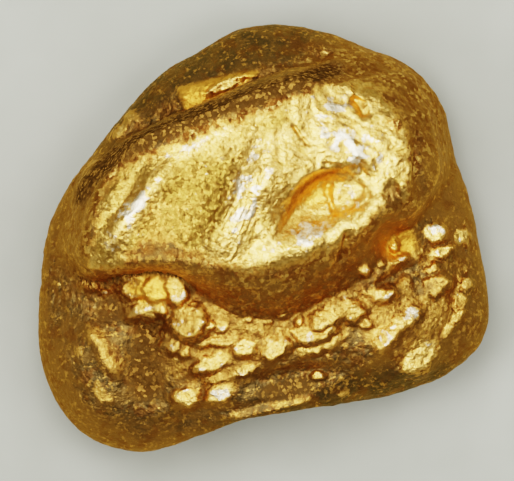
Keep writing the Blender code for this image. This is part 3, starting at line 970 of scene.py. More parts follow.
@dataclass(frozen=True)
class Nugget:
    """The whole nugget: one solid piece of metal."""

    pebble: Pebble = Pebble()
    slab: Slab = Slab()
    shelf: Shelf = Shelf()
    lobe: Lobe = Lobe()
    terrace: Terrace = Terrace()
    relief: FineRelief = FineRelief()
    subdivisions: int = 8
    triangles: int = 196_000
    sliver: float = 0.001
    # The size and depth of each layer of soft hills, and of the dents in the sides.
    uneven: tuple[Pair, ...] = ((1.10, 0.110), (0.50, 0.045), (0.22, 0.014))
    dents: Pair = (0.34, 0.035)
    dent_wall: Span = Span(0.0, 0.45)
    outline_hold: float = 0.75
    near_outline: Span = Span(0.88, 1.0)
    upward: Span = Span(-0.10, 0.35)
    downward: Span = Span(0.0, 0.5)
    sideways: Span = Span(0.55, 0.10)
    coarse: tuple[Patch, ...] = (
        Patch(1.10, 1.54, 1.70, 0.62, -22, 0.85, 0.5),
        Patch(1.56, 1.20, 0.46, 0.90, 16, 0.80, 0.5),
        Patch(0.30, -0.50, 2.60, 0.70, 4, 0.35, 0.4),
        Patch(-1.86, 0.00, 1.60, 0.60, 68, 0.25, 0.4),
        Patch(-1.50, -0.50, 0.90, 0.60, 0, 0.60, 0.4),
        Patch(-0.60, 1.40, 2.20, 0.30, 22, 0.30, 0.3),
    )
    wall_facing: float = 0.75
    wall_ease: float = 0.5
    wall_passes: int = 5
    stir: tuple[Pair, ...] = ((0.12, 0.030), (0.06, 0.018))
    grain: Grain = field(default_factory=lambda: Grain(7))

    def build(self) -> bpy.types.Object:
        """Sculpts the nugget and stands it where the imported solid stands.

        Returns:
            The finished object, at the origin, with its place in its mesh.
        """
        bpy.ops.object.select_all(action="DESELECT")
        bpy.ops.mesh.primitive_ico_sphere_add(subdivisions=self.subdivisions, radius=1.0)
        nugget = bpy.context.object
        nugget.name = "nugget_surface"
        self._sculpt(Skin(nugget.data))
        self._thin_out(nugget)
        self._wear_flat(nugget)
        self._stand(nugget.data)
        return nugget

    def dress(self, mesh: bpy.types.Mesh, finish: bpy.types.Material) -> None:
        """Stores the marks of wear and of painted light and shade on the mesh and gives it its
        finish.

        Args:
            mesh: The nugget's mesh.
            finish: The material that reads the marks.
        """
        WearAndPaintedLight(self, Skin(mesh)).store()
        mesh.materials.append(finish)
        mesh.shade_smooth()

    def stirred(self, places: Array) -> Array:
        """Gives the plan of places, moved about a little so that outlines turn irregular.

        Args:
            places: Places on the nugget.

        Returns:
            The plan points.
        """
        plan = places[:, :2].copy()
        for size, reach in self.stir:
            for column, shift in enumerate((3.1, 9.7)):
                plan[:, column] += reach * self.grain.smooth(places + shift, size)
        return plan

    def _top(self, plan: Array) -> tuple[Array, Array]:
        """Gives the height of the plain top, with the slab, and the share of the slab.

        Args:
            plan: The plan points.

        Returns:
            The heights and the shares.
        """
        ground = self.pebble.ground(plan)
        slab = self.slab.share(plan)
        return ground + (self.slab.top(plan) + self.pebble.lean(plan) - ground) * slab, slab

    def _top_at(self, x: float, y: float) -> float:
        """Gives the height of the plain top at one plan point."""
        return self._top(np.array([(x, y)]))[0][0]

    def _sculpt(self, skin: Skin) -> None:
        """Turns a round ball's skin into the nugget's.

        Args:
            skin: The skin to shape.
        """
        directions = skin.places / np.linalg.norm(skin.places, axis=1)[:, None]
        plan, out, on_top = self.pebble.plan_of(directions)
        top, slab = self._top(plan)
        height = np.where(on_top, top, self.pebble.under(plan, out))
        slab = np.where(on_top, slab, 0.0)
        skin.move(np.column_stack([plan, height]))
        self._raise_forms(skin, out)
        lumps = self._raise_lumps(skin, slab)
        steep = (skin.normals()[:, 2] < self.wall_facing) & (skin.places[:, 2] > self.pebble.rim)
        skin.ease(self.wall_ease * steep, self.wall_passes)
        self._crinkle(skin, slab, lumps, out)

    def _raise_forms(self, skin: Skin, out: Array) -> None:
        """Lifts and sinks the large forms.

        Args:
            skin: The skin to shape.
            out: How far out each vertex lies in the plan.
        """
        normals = skin.normals()
        plan = skin.plan
        worn = 1.0 - self.outline_hold * self.near_outline.of(out)
        rise = sum(part.lift(plan) for part in (self.slab, self.shelf, self.lobe, self.terrace))
        rise = self.upward.of(normals[:, 2]) * rise
        rise += self.downward.of(-normals[:, 2]) * total_lift(self.pebble.underside, plan)
        for size, depth in self.uneven:
            rise += worn * depth * worn_hills(skin.places, size)
        size, depth = self.dents
        dent = self.dent_wall.of(worn_hills(skin.places + size, size))
        rise -= self.sideways.of(normals[:, 2]) * worn * depth * dent
        skin.move(skin.places + rise[:, None] * normals)

    def _raise_lumps(self, skin: Skin, slab: Array) -> Array:
        """Lifts the lumps, whose tops are nearer to level than the ground, and the flake.

        Args:
            skin: The skin to shape.
            slab: The share of the slab at each vertex.

        Returns:
            How far each vertex is inside a lump, from 0 to 1.
        """
        plan = self.stirred(skin.places)
        ground = skin.places[:, 2]
        lift = np.zeros(len(plan))
        inside = np.zeros(len(plan))
        terrace = self.terrace
        for n, (x, y, length, width, turn, _) in enumerate(terrace.lumps):
            share = Patch(x, y, length, width, turn, 0, terrace.flat, terrace.end).share(plan)
            tilt = (plan - (x, y)) @ terrace.leaning(n)
            level = terrace.level * (self._top_at(x, y) - ground)
            own = share * (terrace.rise * width + tilt + level)
            lift = np.where(share > 0, np.maximum(lift, own), lift)
            inside = np.maximum(inside, share)
        lift *= 1.0 - terrace.beside_slab.of(slab)
        flake, blade = self.shelf.flake, self.shelf.blade
        level = self.shelf.blade_level * (self._top_at(blade.x, blade.y) - self._top(plan)[0])
        lift += flake.height * flake.share(plan)
        lift += blade.share(plan) * (blade.height + level)
        lift *= terrace.lifting.of(skin.normals()[:, 2])
        places = skin.places.copy()
        places[:, 2] += lift
        skin.move(places)
        return inside

    def _crinkle(self, skin: Skin, slab: Array, lumps: Array, out: Array) -> None:
        """Adds the finest relief.

        Args:
            skin: The skin to shape.
            slab: The share of the slab at each vertex.
            lumps: How far each vertex is inside a lump.
            out: How far out each vertex lies in the plan.
        """
        normals = skin.normals()
        places, plan = skin.places, skin.plan
        relief, grain = self.relief, self.grain
        flow = relief.fold_places(grain, places)
        calm = 1.0 - relief.smoothing * self.slab.hollow.share(plan)
        strong = relief.crumpled.share(plan) * calm
        foil, folds, swells = (
            least + more * strong
            for least, more in (relief.foil_strength, relief.fold_strength, relief.swell_strength)
        )
        rise = relief.foil.over(slab * calm * foil, grain, flow)
        rise += relief.foil_folds.over(slab * calm * folds, grain, flow)
        rise += relief.swells.over(slab * swells, grain, places)
        rise += relief.foil_grain.over(slab * calm, grain, places)
        fading = relief.fading
        on_top = fading.of(normals[:, 2]) * (1.0 - fading.of(slab))
        rubble = self.terrace.gravel(plan) * (on_top * relief.gravel_end.of(out))
        rows = relief.row_places(places)
        between = 1.0 - relief.lump_smoothing * lumps
        rise += relief.gravel_rows.over(rubble * between, grain, rows)
        rise += relief.gravel.over(rubble, grain, places)
        pit = np.maximum(self.lobe.pit.share(plan), self.lobe.groove.share(plan)) * on_top
        rise += relief.pitting.over(pit, grain, places)
        height = relief.crust_least + relief.crust_more * most_share(self.coarse, plan)
        rise += relief.crust.over((1.0 - slab) * height, grain, places)
        rise += relief.grain.over((1.0 - slab) * on_top, grain, places)
        rise += relief.flanks.over(self.sideways.of(normals[:, 2]), grain, places)
        skin.move(places + rise[:, None] * normals)

    def _thin_out(self, nugget: bpy.types.Object) -> None:
        """Leaves as many triangles as a piece may have, most of them where it is uneven.

        Args:
            nugget: The sculpted object.
        """
        thin = nugget.modifiers.new("thin_out", "DECIMATE")
        thin.ratio = self.triangles / len(nugget.data.polygons)
        thin.use_collapse_triangulate = True
        bpy.ops.object.modifier_apply(modifier=thin.name)

    def _wear_flat(self, nugget: bpy.types.Object) -> None:
        """Cuts the underside off level and closes the cut.

        Args:
            nugget: The sculpted object.
        """
        bpy.ops.object.mode_set(mode="EDIT")
        bpy.ops.mesh.select_all(action="SELECT")
        bpy.ops.mesh.bisect(
            plane_co=(0, 0, 0), plane_no=(0, 0, -1), use_fill=True, clear_outer=True
        )
        bpy.ops.mesh.select_all(action="SELECT")
        bpy.ops.mesh.dissolve_degenerate(threshold=self.sliver)
        bpy.ops.mesh.quads_convert_to_tris()
        bpy.ops.mesh.normals_make_consistent(inside=False)
        bpy.ops.object.mode_set(mode="OBJECT")

    def _stand(self, mesh: bpy.types.Mesh) -> None:
        """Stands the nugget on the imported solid's place and turns millimetres into metres.

        Args:
            mesh: The nugget's mesh.
        """
        skin = Skin(mesh)
        low, high = (np.array(corner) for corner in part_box(NODE))
        here = (skin.places.min(axis=0) + skin.places.max(axis=0)) / 2
        there = (low + high) / 2
        shift = np.array([there[0] - here[0] * MM, there[1] - here[1] * MM, low[2]])
        skin.move(skin.places * MM + shift)


class WearAndPaintedLight:
    """Where the metal is burnished, oxidised or soiled, and where light and shade are painted on
    it, as shares for each vertex.
    """

    REACH: int = 12
    FLECKS: tuple[Pair, ...] = ((0.16, 1.0), (0.06, 0.7))
    FACING_UP: Span = Span(0.2, 0.6)
    NEARLY_UP: Span = Span(-0.1, 0.2)
    LEVEL: Span = Span(0.62, 0.95)
    STEEP: Span = Span(0.85, 0.55)
    GROUND_FLECKS: Span = Span(-0.4, 0.5)
    LEDGE_FLECKS: Span = Span(-0.5, 0.3)
    COARSE_FLECKS: Span = Span(0.0, 0.7)
    STREAK_FLECKS: Span = Span(-0.6, 0.2)
    PAINTED_GLINT_FLECKS: Span = Span(-0.7, 0.3)
    GLINT_FLECKS: Span = Span(0.1, 0.6)
    CRUST_FLECKS: Span = Span(-0.6, 0.3)
    GROUND_RISE: Span = Span(0.45, 0.85)
    LUMP_RISE: Span = Span(0.5, 0.85)
    FLOOR_RISE: Span = Span(0.45, 0.90)
    LUMP_TOP: Span = Span(0.2, 0.9)
    LUMP_CROWN: Span = Span(0.6, 0.9)
    LUMP_FOOT: Span = Span(0.1, 0.5)
    THICK: Span = Span(0.60, 0.80)
    SHADE_FADE: Span = Span(0.0, 0.5)
    WARP: float = 0.07
    BARE: float = 0.92
    FOOT_SHADOW_DIMMING: float = 0.9
    GROUND_SHINE: Pair = (0.62, 0.55)
    COARSE_SHINE: float = 0.12
    LOBE_SHINE: float = 0.42
    LEDGE_SHINE: float = 0.55
    FLAKE_SHINE: float = 0.42
    STREAK_SHINE: float = 0.85
    GROOVE_DIRT: float = 0.85
    GRIME_DIRT: float = 0.55
    LIP_SHADOW: float = 0.4
    SHELF_SHADE: float = 0.35
    DIRT_AND_SHADE: Span = Span(0.15, 0.70)
    SLAB_GRIT: Pair = (0.26, 0.40)
    COARSE_GRIT: float = 0.5
    LEAST_GRIT: float = 0.22
    LUMP_GLINT: float = 0.8
    PIT_REFLECTION: float = 0.7
    NOTCH_REFLECTION: float = 0.6
    FLOOR_REFLECTION: float = 0.65
    FLAKE_REFLECTION: float = 0.7
    SCOOP_RIM_SHADE: float = 0.75
    CRUST_SHADE: float = 0.45
    EDGE_CRUST: float = 0.85
    GROUND_CRUST: float = 0.50

    def __init__(self, nugget: Nugget, skin: Skin) -> None:
        """Measures the finished skin once for all the marks.

        Args:
            nugget: The nugget, for its measures.
            skin: Its finished skin.
        """
        self.skin = skin
        self.slab, self.shelf = nugget.slab, nugget.shelf
        self.lobe, self.terrace = nugget.lobe, nugget.terrace
        low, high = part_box(NODE)
        middle = np.array([(low[0] + high[0]) / 2, (low[1] + high[1]) / 2, 0.0])
        places = (skin.places - middle) / MM
        self.plan = places[:, :2]
        self.warped = nugget.stirred(places)
        self.rise = skin.normals()[:, 2]
        self.on_top = self.FACING_UP.of(self.rise)
        smooth = nugget.grain.smooth
        self.fleck = sum(weight * smooth(places, size) for size, weight in self.FLECKS)
        self.coarse = most_share(nugget.coarse, self.plan)
        self.crusted = most_lift(nugget.coarse, self.warped)
        self.pitted = np.maximum(
            self.lobe.pit.share(self.plan),
            self.GROOVE_DIRT * self.lobe.groove.share(self.plan),
        )
        self.painted_highlight = most_share(self.slab.painted_highlight, self.warped)
        self.dulled_and_shaded = most_lift(self.slab.dull_and_shade, self.plan) * (1.0 - self.painted_highlight)
        self.slab_shine = self._slab_shine(places[:, 2])
        self.rubble = self.terrace.gravel(self.plan) * (1.0 - self.BARE * self._bare())
        self.lumps, self.lump_shine = self._lumps()

    def _slab_shine(self, height: Array) -> Array:
        """Gives how bright the slab's top is.

        Args:
            height: The height of each vertex, in millimetres.

        Returns:
            A share for each vertex.
        """
        slab = self.slab
        shine = slab.brightness(self.warped + self.WARP * self.fleck[:, None])
        # Only surfaces that face up get the bright gold: partly painted light.
        shine = shine * self.on_top * (height > slab.shine_above)
        shine *= 1.0 - most_lift((slab.hollow, *slab.matt), self.warped)
        # The painted shadow along the back foot also dims the slab's brightness.
        return shine * (1.0 - self.FOOT_SHADOW_DIMMING * slab.foot_shadow.share(self.warped))

    def _bare(self) -> Array:
        """Gives where the terrace has no rubble."""
        bare = most_share(self.terrace.bare, self.warped)
        return np.maximum(bare, self.lobe.groove.share(self.plan))

    def _lumps(self) -> tuple[Array, Array]:
        """Gives how far each vertex is inside a lump, and how the lumps' tops shine.

        Returns:
            Two shares for each vertex.
        """
        inside = np.zeros(len(self.plan))
        shine = np.zeros(len(self.plan))
        for *lump, gloss in self.terrace.lumps:
            patch = Patch(*lump, 0, self.terrace.flat, self.terrace.end)
            share = patch.share(self.warped)
            top = self.LUMP_RISE.of(self.rise) * self.LUMP_TOP.of(share)
            shine = np.maximum(shine, gloss * top)
            inside = np.maximum(inside, share)
        return inside, shine

    def _burnish_and_light(self) -> Array:
        """Gives how bright the metal is: partly wear, partly painted light, since mostly surfaces
        that face up get the bright gold.

        Returns:
            A share for each vertex.
        """
        warped, on_top = self.warped, self.on_top
        least, more = self.GROUND_SHINE
        ground = self.rubble * (least + more * self.GROUND_FLECKS.of(self.fleck))
        ledge = self.terrace.ledge.share(warped) * self.LEDGE_FLECKS.of(self.fleck)
        streaks = most(*(streak.share(warped) for streak in self.shelf.streaks))
        return most(
            self.slab_shine,
            self.lump_shine,
            self.GROUND_RISE.of(self.rise) * ground,
            self.COARSE_SHINE * self.coarse * self.COARSE_FLECKS.of(self.fleck),
            self.LOBE_SHINE * on_top * self.lobe.streak.share(warped),
            self.LEDGE_SHINE * on_top * ledge,
            self.FLAKE_SHINE * on_top * self.shelf.flake.share(self.plan),
            on_top * self.shelf.blade.share(self.plan),
            self.STREAK_SHINE * streaks * self.STREAK_FLECKS.of(self.fleck),
        )

    def _dirt_and_shade(self) -> Array:
        """Gives the soil in the lobe's pit and groove and on marked patches, and the shade
        painted along the slab's feet and on the shelf.

        Returns:
            A share for each vertex.
        """
        slab, warped = self.slab, self.warped
        grime_and_shade = np.maximum(self.lobe.grime_and_shade.share(warped), self.terrace.grime_and_shade.share(warped))
        facing_up = self.NEARLY_UP.of(self.rise)
        return most(
            self.on_top * np.maximum(self.pitted, self.GRIME_DIRT * grime_and_shade),
            facing_up * slab.foot_shadow.share(warped),
            self.LIP_SHADOW * facing_up * slab.lip_shadow.share(warped),
            self.SHELF_SHADE * facing_up * self.shelf.grime_and_shade.share(warped),
        )

    def _painted_shade(self, bright: Array) -> Array:
        """Gives where shade is painted dark olive where the metal isn't bright: on level tops, on
        steep rubble walls, on the shelf and along the terrace's front.

        Args:
            bright: How bright the metal is.

        Returns:
            A share for each vertex.
        """
        wall = self.rubble * self.STEEP.of(self.rise)
        level = self.LEVEL.of(self.rise)
        shelf = self.shelf.painted_shade_patch.share(self.plan)
        terrace = self.terrace.painted_shade_patch.share(self.plan)
        return most(level, shelf, terrace, wall) * (1.0 - self.SHADE_FADE.of(bright))

    def _grit(self, dirt_and_shade_share: Array) -> Array:
        """Gives how much the grains of the metal show.

        Args:
            dirt_and_shade_share: How much soil and painted shade there is.

        Returns:
            A share for each vertex.
        """
        slab, painted_glint = self.slab_shine, self.painted_highlight
        least, more = self.SLAB_GRIT
        return most(
            slab * (least + more * self.dulled_and_shaded) * (1.0 - 0.5 * painted_glint),
            self.rubble * self.on_top * (1.0 - 0.25 * self.lumps),
            dirt_and_shade_share,
            self.COARSE_GRIT * self.coarse,
            self.LEAST_GRIT * (1.0 - 0.5 * slab * painted_glint),
        )

    def _painted_glint(self) -> Array:
        """Gives where highlights are painted as pale flecks: on the slab's flats and here and
        there on a lump.

        Returns:
            A share for each vertex.
        """
        gleam = self.slab_shine * self.painted_highlight * self.PAINTED_GLINT_FLECKS.of(self.fleck)
        glint = self.LUMP_CROWN.of(self.lumps) * self.on_top
        return np.maximum(gleam, self.LUMP_GLINT * glint * self.GLINT_FLECKS.of(self.fleck))

    def _painted_reflection(self) -> Array:
        """Gives where warm reflected light is painted orange: in hollows beside the lumps, in the
        notch, on the scoop's floor and on the flake.

        Returns:
            A share for each vertex.
        """
        floor = self.slab.floor.share(self.warped) * self.FLOOR_RISE.of(self.rise)
        return self.on_top * most(
            self.PIT_REFLECTION * most_share(self.terrace.painted_reflection, self.warped),
            self.NOTCH_REFLECTION * self.slab.notch.share(self.warped),
            self.FLOOR_REFLECTION * floor * (1.0 - self.painted_highlight),
            self.FLAKE_REFLECTION * self.shelf.flake.share(self.plan),
        )

    def _rust_and_shade(self) -> Array:
        """Gives where the metal is painted red-brown: oxide in the pit at the scoop's far end,
        and painted shade along the scoop's rim and on the thickly crusted slope at the back
        right.

        Returns:
            A share for each vertex.
        """
        scoop = np.maximum(
            self.slab.scoop_rim_shade.share(self.warped), self.slab.pit.share(self.warped)
        )
        thick = self.THICK.of(self.crusted) * self.on_top * (1.0 - self.slab_shine)
        return np.maximum(self.SCOOP_RIM_SHADE * scoop, self.CRUST_SHADE * thick)

    def _crust(self) -> Array:
        """Gives how much of the metal is covered with small crystals.

        Returns:
            A share for each vertex.
        """
        between = 1.0 - self.LUMP_FOOT.of(self.lumps)
        crust = most(
            self.crusted,
            self.EDGE_CRUST * self.on_top * self.slab.edge_band(self.warped),
            self.GROUND_CRUST * self.rubble * self.on_top * between,
        )
        crust *= (1.0 - 0.9 * self.slab_shine) * self.CRUST_FLECKS.of(self.fleck)
        return crust * (1.0 - self.shelf.flake.share(self.plan))

    def store(self) -> None:
        """Stores every mark on the mesh under the name that the finish reads."""
        bright = self._burnish_and_light()
        dirt_and_shade = self._dirt_and_shade()
        hollow = self.skin.hollowness(self.REACH) / MM
        marks = {
            "painted_glint": self._painted_glint(),
            "dull_and_shade": self.dulled_and_shaded,
            "burnish_and_light": bright,
            "dirt_and_shade": self.DIRT_AND_SHADE.of(dirt_and_shade),
            "painted_shade": self._painted_shade(bright),
            "painted_reflection": self._painted_reflection(),
            "grit": self._grit(dirt_and_shade),
            "rust_and_shade": self._rust_and_shade(),
            "crust": self._crust(),
            "hollow": np.where(hollow > 0, hollow * (1.0 - self.slab_shine), hollow),
            # Creases on the bright slab, where shade is painted.
            "crease": self.slab_shine * np.maximum(hollow, 0.0),
        }
        for name, values in marks.items():
            self.skin.keep(name, values)


# --- Finishes ---

Colour = tuple[float, float, float]
Socket = bpy.types.NodeSocket


@dataclass(frozen=True)
class Grains:
    """The values of grains that lie side by side.

    The height is that of their tilted tops in millimetres, luck is a number from 0 to 1 for
    each grain, and border is the distance from its border as a share of its width.
    """

    height: Socket
    luck: Socket
    border: Socket


class NodeBench:
    """A node tree under construction, with short calls for the nodes that finishes use."""

    UPRIGHT: Colour = (1.0, 1.0, 0.45)

    def __init__(self, name: str) -> None:
        """Makes a material with its shader and its place in millimetres.

        Args:
            name: The material's name.
        """
        self.material = bpy.data.materials.new(name)
        self.material.use_nodes = True
        self.tree = self.material.node_tree
        self.shader = self.tree.nodes["Principled BSDF"]
        place = self.tree.nodes.new("ShaderNodeTexCoord")
        scale = self.tree.nodes.new("ShaderNodeVectorMath")
        scale.operation = "SCALE"
        scale.inputs["Scale"].default_value = 1.0 / MM
        self.join(place.outputs["Object"], scale.inputs[0])
        self.place = scale.outputs["Vector"]
        self.tall = self.vector_sum("MULTIPLY", self.place, self.UPRIGHT)

    def join(self, source: Socket, target: Socket) -> None:
        """Links an output to an input."""
        self.tree.links.new(source, target)

    def put(self, value: Socket | float | Colour, target: Socket) -> None:
        """Gives an input a value: an output's, or a constant.

        Args:
            value: The value.
            target: The input.
        """
        if isinstance(value, bpy.types.NodeSocket):
            self.join(value, target)
        elif target.type == "RGBA":
            target.default_value = (*value, 1.0)
        else:
            target.default_value = value

    def noise(
        self, size: float, detail: float = 2.0, rough: float = 0.5, place: Socket | None = None
    ) -> Socket:
        """Adds soft noise.

        Args:
            size: The distance between its hills, in millimetres.
            detail: How many finer layers it has.
            rough: How strong the finer layers are.
            place: The place it is read at, when it isn't the plain one.

        Returns:
            A value from 0 to 1, mostly near its middle.
        """
        node = self.tree.nodes.new("ShaderNodeTexNoise")
        node.inputs["Scale"].default_value = 1.0 / size
        node.inputs["Detail"].default_value = detail
        node.inputs["Roughness"].default_value = rough
        self.join(place or self.place, node.inputs["Vector"])
        return node.outputs["Fac"]

    def grains(self, size: float, place: Socket) -> Grains:
        """Adds angular grains that lie side by side, each with its own tilt.

        Args:
            size: The width of a grain, in millimetres.
            place: The place they are read at.

        Returns:
            The grains' values.
        """
        cell = self.tree.nodes.new("ShaderNodeTexVoronoi")
        border = self.tree.nodes.new("ShaderNodeTexVoronoi")
        border.feature = "DISTANCE_TO_EDGE"
        for node in (cell, border):
            node.inputs["Scale"].default_value = 1.0 / size
            self.join(place, node.inputs["Vector"])
        off = self.vector_sum("SUBTRACT", place, cell.outputs["Position"])
        tilt = self.vector_sum("SUBTRACT", cell.outputs["Color"], (0.5, 0.5, 0.5))
        return Grains(
            height=self.vector_sum("DOT_PRODUCT", off, tilt),
            luck=cell.outputs["Color"],
            border=border.outputs["Distance"],
        )

    def stir(self, place: Socket, size: float, reach: float) -> Socket:
        """Moves places about, so that what is read there loses its straight lines.

        Args:
            place: The place.
            size: The distance between one swirl and the next, in millimetres.
            reach: How far a place moves at most, in millimetres.

        Returns:
            The moved place.
        """
        node = self.tree.nodes.new("ShaderNodeTexNoise")
        node.inputs["Scale"].default_value = 1.0 / size
        self.join(place, node.inputs["Vector"])
        off = self.vector_sum("SUBTRACT", node.outputs["Color"], (0.5, 0.5, 0.5))
        off = self.vector_sum("MULTIPLY", off, (2 * reach, 2 * reach, 2 * reach))
        return self.vector_sum("ADD", place, off)

    def stored(self, name: str) -> Socket:
        """Reads a value that the mesh stores.

        Args:
            name: The name it is stored under.

        Returns:
            The value.
        """
        node = self.tree.nodes.new("ShaderNodeAttribute")
        node.attribute_name = name
        return node.outputs["Fac"]

    def span(
        self, source: Socket, low: float, high: float, to_low: float = 0.0, to_high: float = 1.0
    ) -> Socket:
        """Maps one range of a value onto another.

        Args:
            source: The value.
            low: Where its range starts.
            high: Where its range ends.
            to_low: What it becomes at the start and before.
            to_high: What it becomes at the end and after.

        Returns:
            The mapped value, eased between the ends.
        """
        node = self.tree.nodes.new("ShaderNodeMapRange")
        node.interpolation_type = "SMOOTHSTEP"
        node.inputs["From Min"].default_value = low
        node.inputs["From Max"].default_value = high
        node.inputs["To Min"].default_value = to_low
        node.inputs["To Max"].default_value = to_high
        self.join(source, node.inputs["Value"])
        return node.outputs["Result"]

    def sum(self, kind: str, first: Socket | float, second: Socket | float) -> Socket:
        """Joins two values.

        Args:
            kind: The kind of sum, as Blender names it.
            first: The first value.
            second: The second value.

        Returns:
            The result.
        """
        node = self.tree.nodes.new("ShaderNodeMath")
        node.operation = kind
        self.put(first, node.inputs[0])
        self.put(second, node.inputs[1])
        return node.outputs[0]

    def add(self, first: Socket | float, second: Socket | float) -> Socket:
        """Adds two values."""
        return self.sum("ADD", first, second)

    def times(self, first: Socket | float, second: Socket | float) -> Socket:
        """Multiplies two values."""
        return self.sum("MULTIPLY", first, second)

    def larger(self, first: Socket | float, second: Socket | float) -> Socket:
        """Takes the larger of two values."""
        return self.sum("MAXIMUM", first, second)

    def vector_sum(self, kind: str, first: Socket, second: Socket | Colour) -> Socket:
        """Joins two vectors.

        Args:
            kind: The kind of sum, as Blender names it.
            first: The first vector.
            second: The second vector.

        Returns:
            The result, a number where the kind gives one.
        """
        node = self.tree.nodes.new("ShaderNodeVectorMath")
        node.operation = kind
        self.put(first, node.inputs[0])
        self.put(second, node.inputs[1])
        return node.outputs["Value" if kind == "DOT_PRODUCT" else "Vector"]

    def blend(self, share: Socket, first: Socket | Colour, second: Socket | Colour) -> Socket:
        """Blends two colours.

        Args:
            share: How much of the second colour there is.
            first: The first colour.
            second: The second colour.

        Returns:
            The blended colour.
        """
        node = self.tree.nodes.new("ShaderNodeMix")
        node.data_type = "RGBA"
        colours = [socket for socket in node.inputs if socket.type == "RGBA"]
        self.join(share, node.inputs["Factor"])
        self.put(first, colours[0])
        self.put(second, colours[1])
        return next(socket for socket in node.outputs if socket.type == "RGBA")

    def bump(
        self,
        height: Socket,
        depth: float,
        base: Socket | None = None,
        strength: Socket | float = 1.0,
    ) -> Socket:
        """Turns a height into a dented surface.

        Args:
            height: The height.
            depth: How many millimetres a height of 1 stands for.
            base: The surface that is dented, when it isn't the plain one.
            strength: How much of the dents there is.

        Returns:
            The surface's direction.
        """
        node = self.tree.nodes.new("ShaderNodeBump")
        node.inputs["Distance"].default_value = depth * MM
        self.put(strength, node.inputs["Strength"])
        self.join(height, node.inputs["Height"])
        if base is not None:
            self.join(base, node.inputs["Normal"])
        return node.outputs["Normal"]


@dataclass(frozen=True)
class NativeGold:
    """Native gold: bright where it is burnished, browner and duller where it isn't; bright tops
    and brown sides are partly painted light from above, and highlights, warm reflections and
    shade are painted in.
    """

    # The pale colour of painted highlight flecks.
    painted_highlight: Colour = (1.00, 0.88, 0.62)
    burnished: Colour = (0.97, 0.60, 0.18)
    # Darker olive gold, for a matt finish and for painted shade.
    grained_and_shaded: Colour = (0.42, 0.255, 0.052)
    rubbed: Colour = (0.75, 0.405, 0.096)
    # Partly the nugget's own brown, partly painted shade: the dark surroundings reflected on the
    # sides.
    plain: Colour = (0.375, 0.196, 0.050)
    # Dark olive of painted shade.
    painted_shade_olive: Colour = (0.13, 0.088, 0.035)
    # Orange of painted warm reflection.
    painted_reflection: Colour = (0.86, 0.42, 0.060)
    dark_grain: Colour = (0.30, 0.150, 0.032)
    crusted: Colour = (0.25, 0.090, 0.018)
    # Dark brown of soil and of painted shade.
    dirt_and_shade_brown: Colour = (0.090, 0.045, 0.011)
    # Red-brown of oxide in the pit and of painted shade.
    rust_and_shade_brown: Colour = (0.19, 0.088, 0.026)
    crystal: Colour = (0.60, 0.32, 0.080)
    edge: Colour = (1.00, 0.80, 0.50)
    sheen_low: float = 0.30
    sheen_high: float = 0.44
    dull_sheen: float = 0.10
    gleam_sheen: float = 0.05
    worn_sheen: float = 0.16
    dirt_and_shade_sheen: float = 0.45
    fine: float = 0.030
    coarse: float = 0.040
    coarse_stir: Pair = (0.05, 0.03)
    tilt: float = 0.80
    mottle_size: float = 0.22
    tone_size: float = 0.15
    speck_size: float = 0.045
    ridge_wear: float = 0.36
    mottle_wear: float = 0.08
    fine_wear: float = 0.14
    coarse_wear: float = 0.12
    painted_glint_undulling: float = 0.6
    gleam_size: float = 0.075
    gleam_from_glint: float = 0.42
    blotches: float = 0.45
    dot_size: float = 0.055
    dent_size: float = 0.10
    dent_depth: float = 0.022
    nick_size: float = 0.042
    nick_depth: float = 0.008

    def make(self) -> bpy.types.Material:
        """Builds the finish."""
        return GoldSurface(self).build()


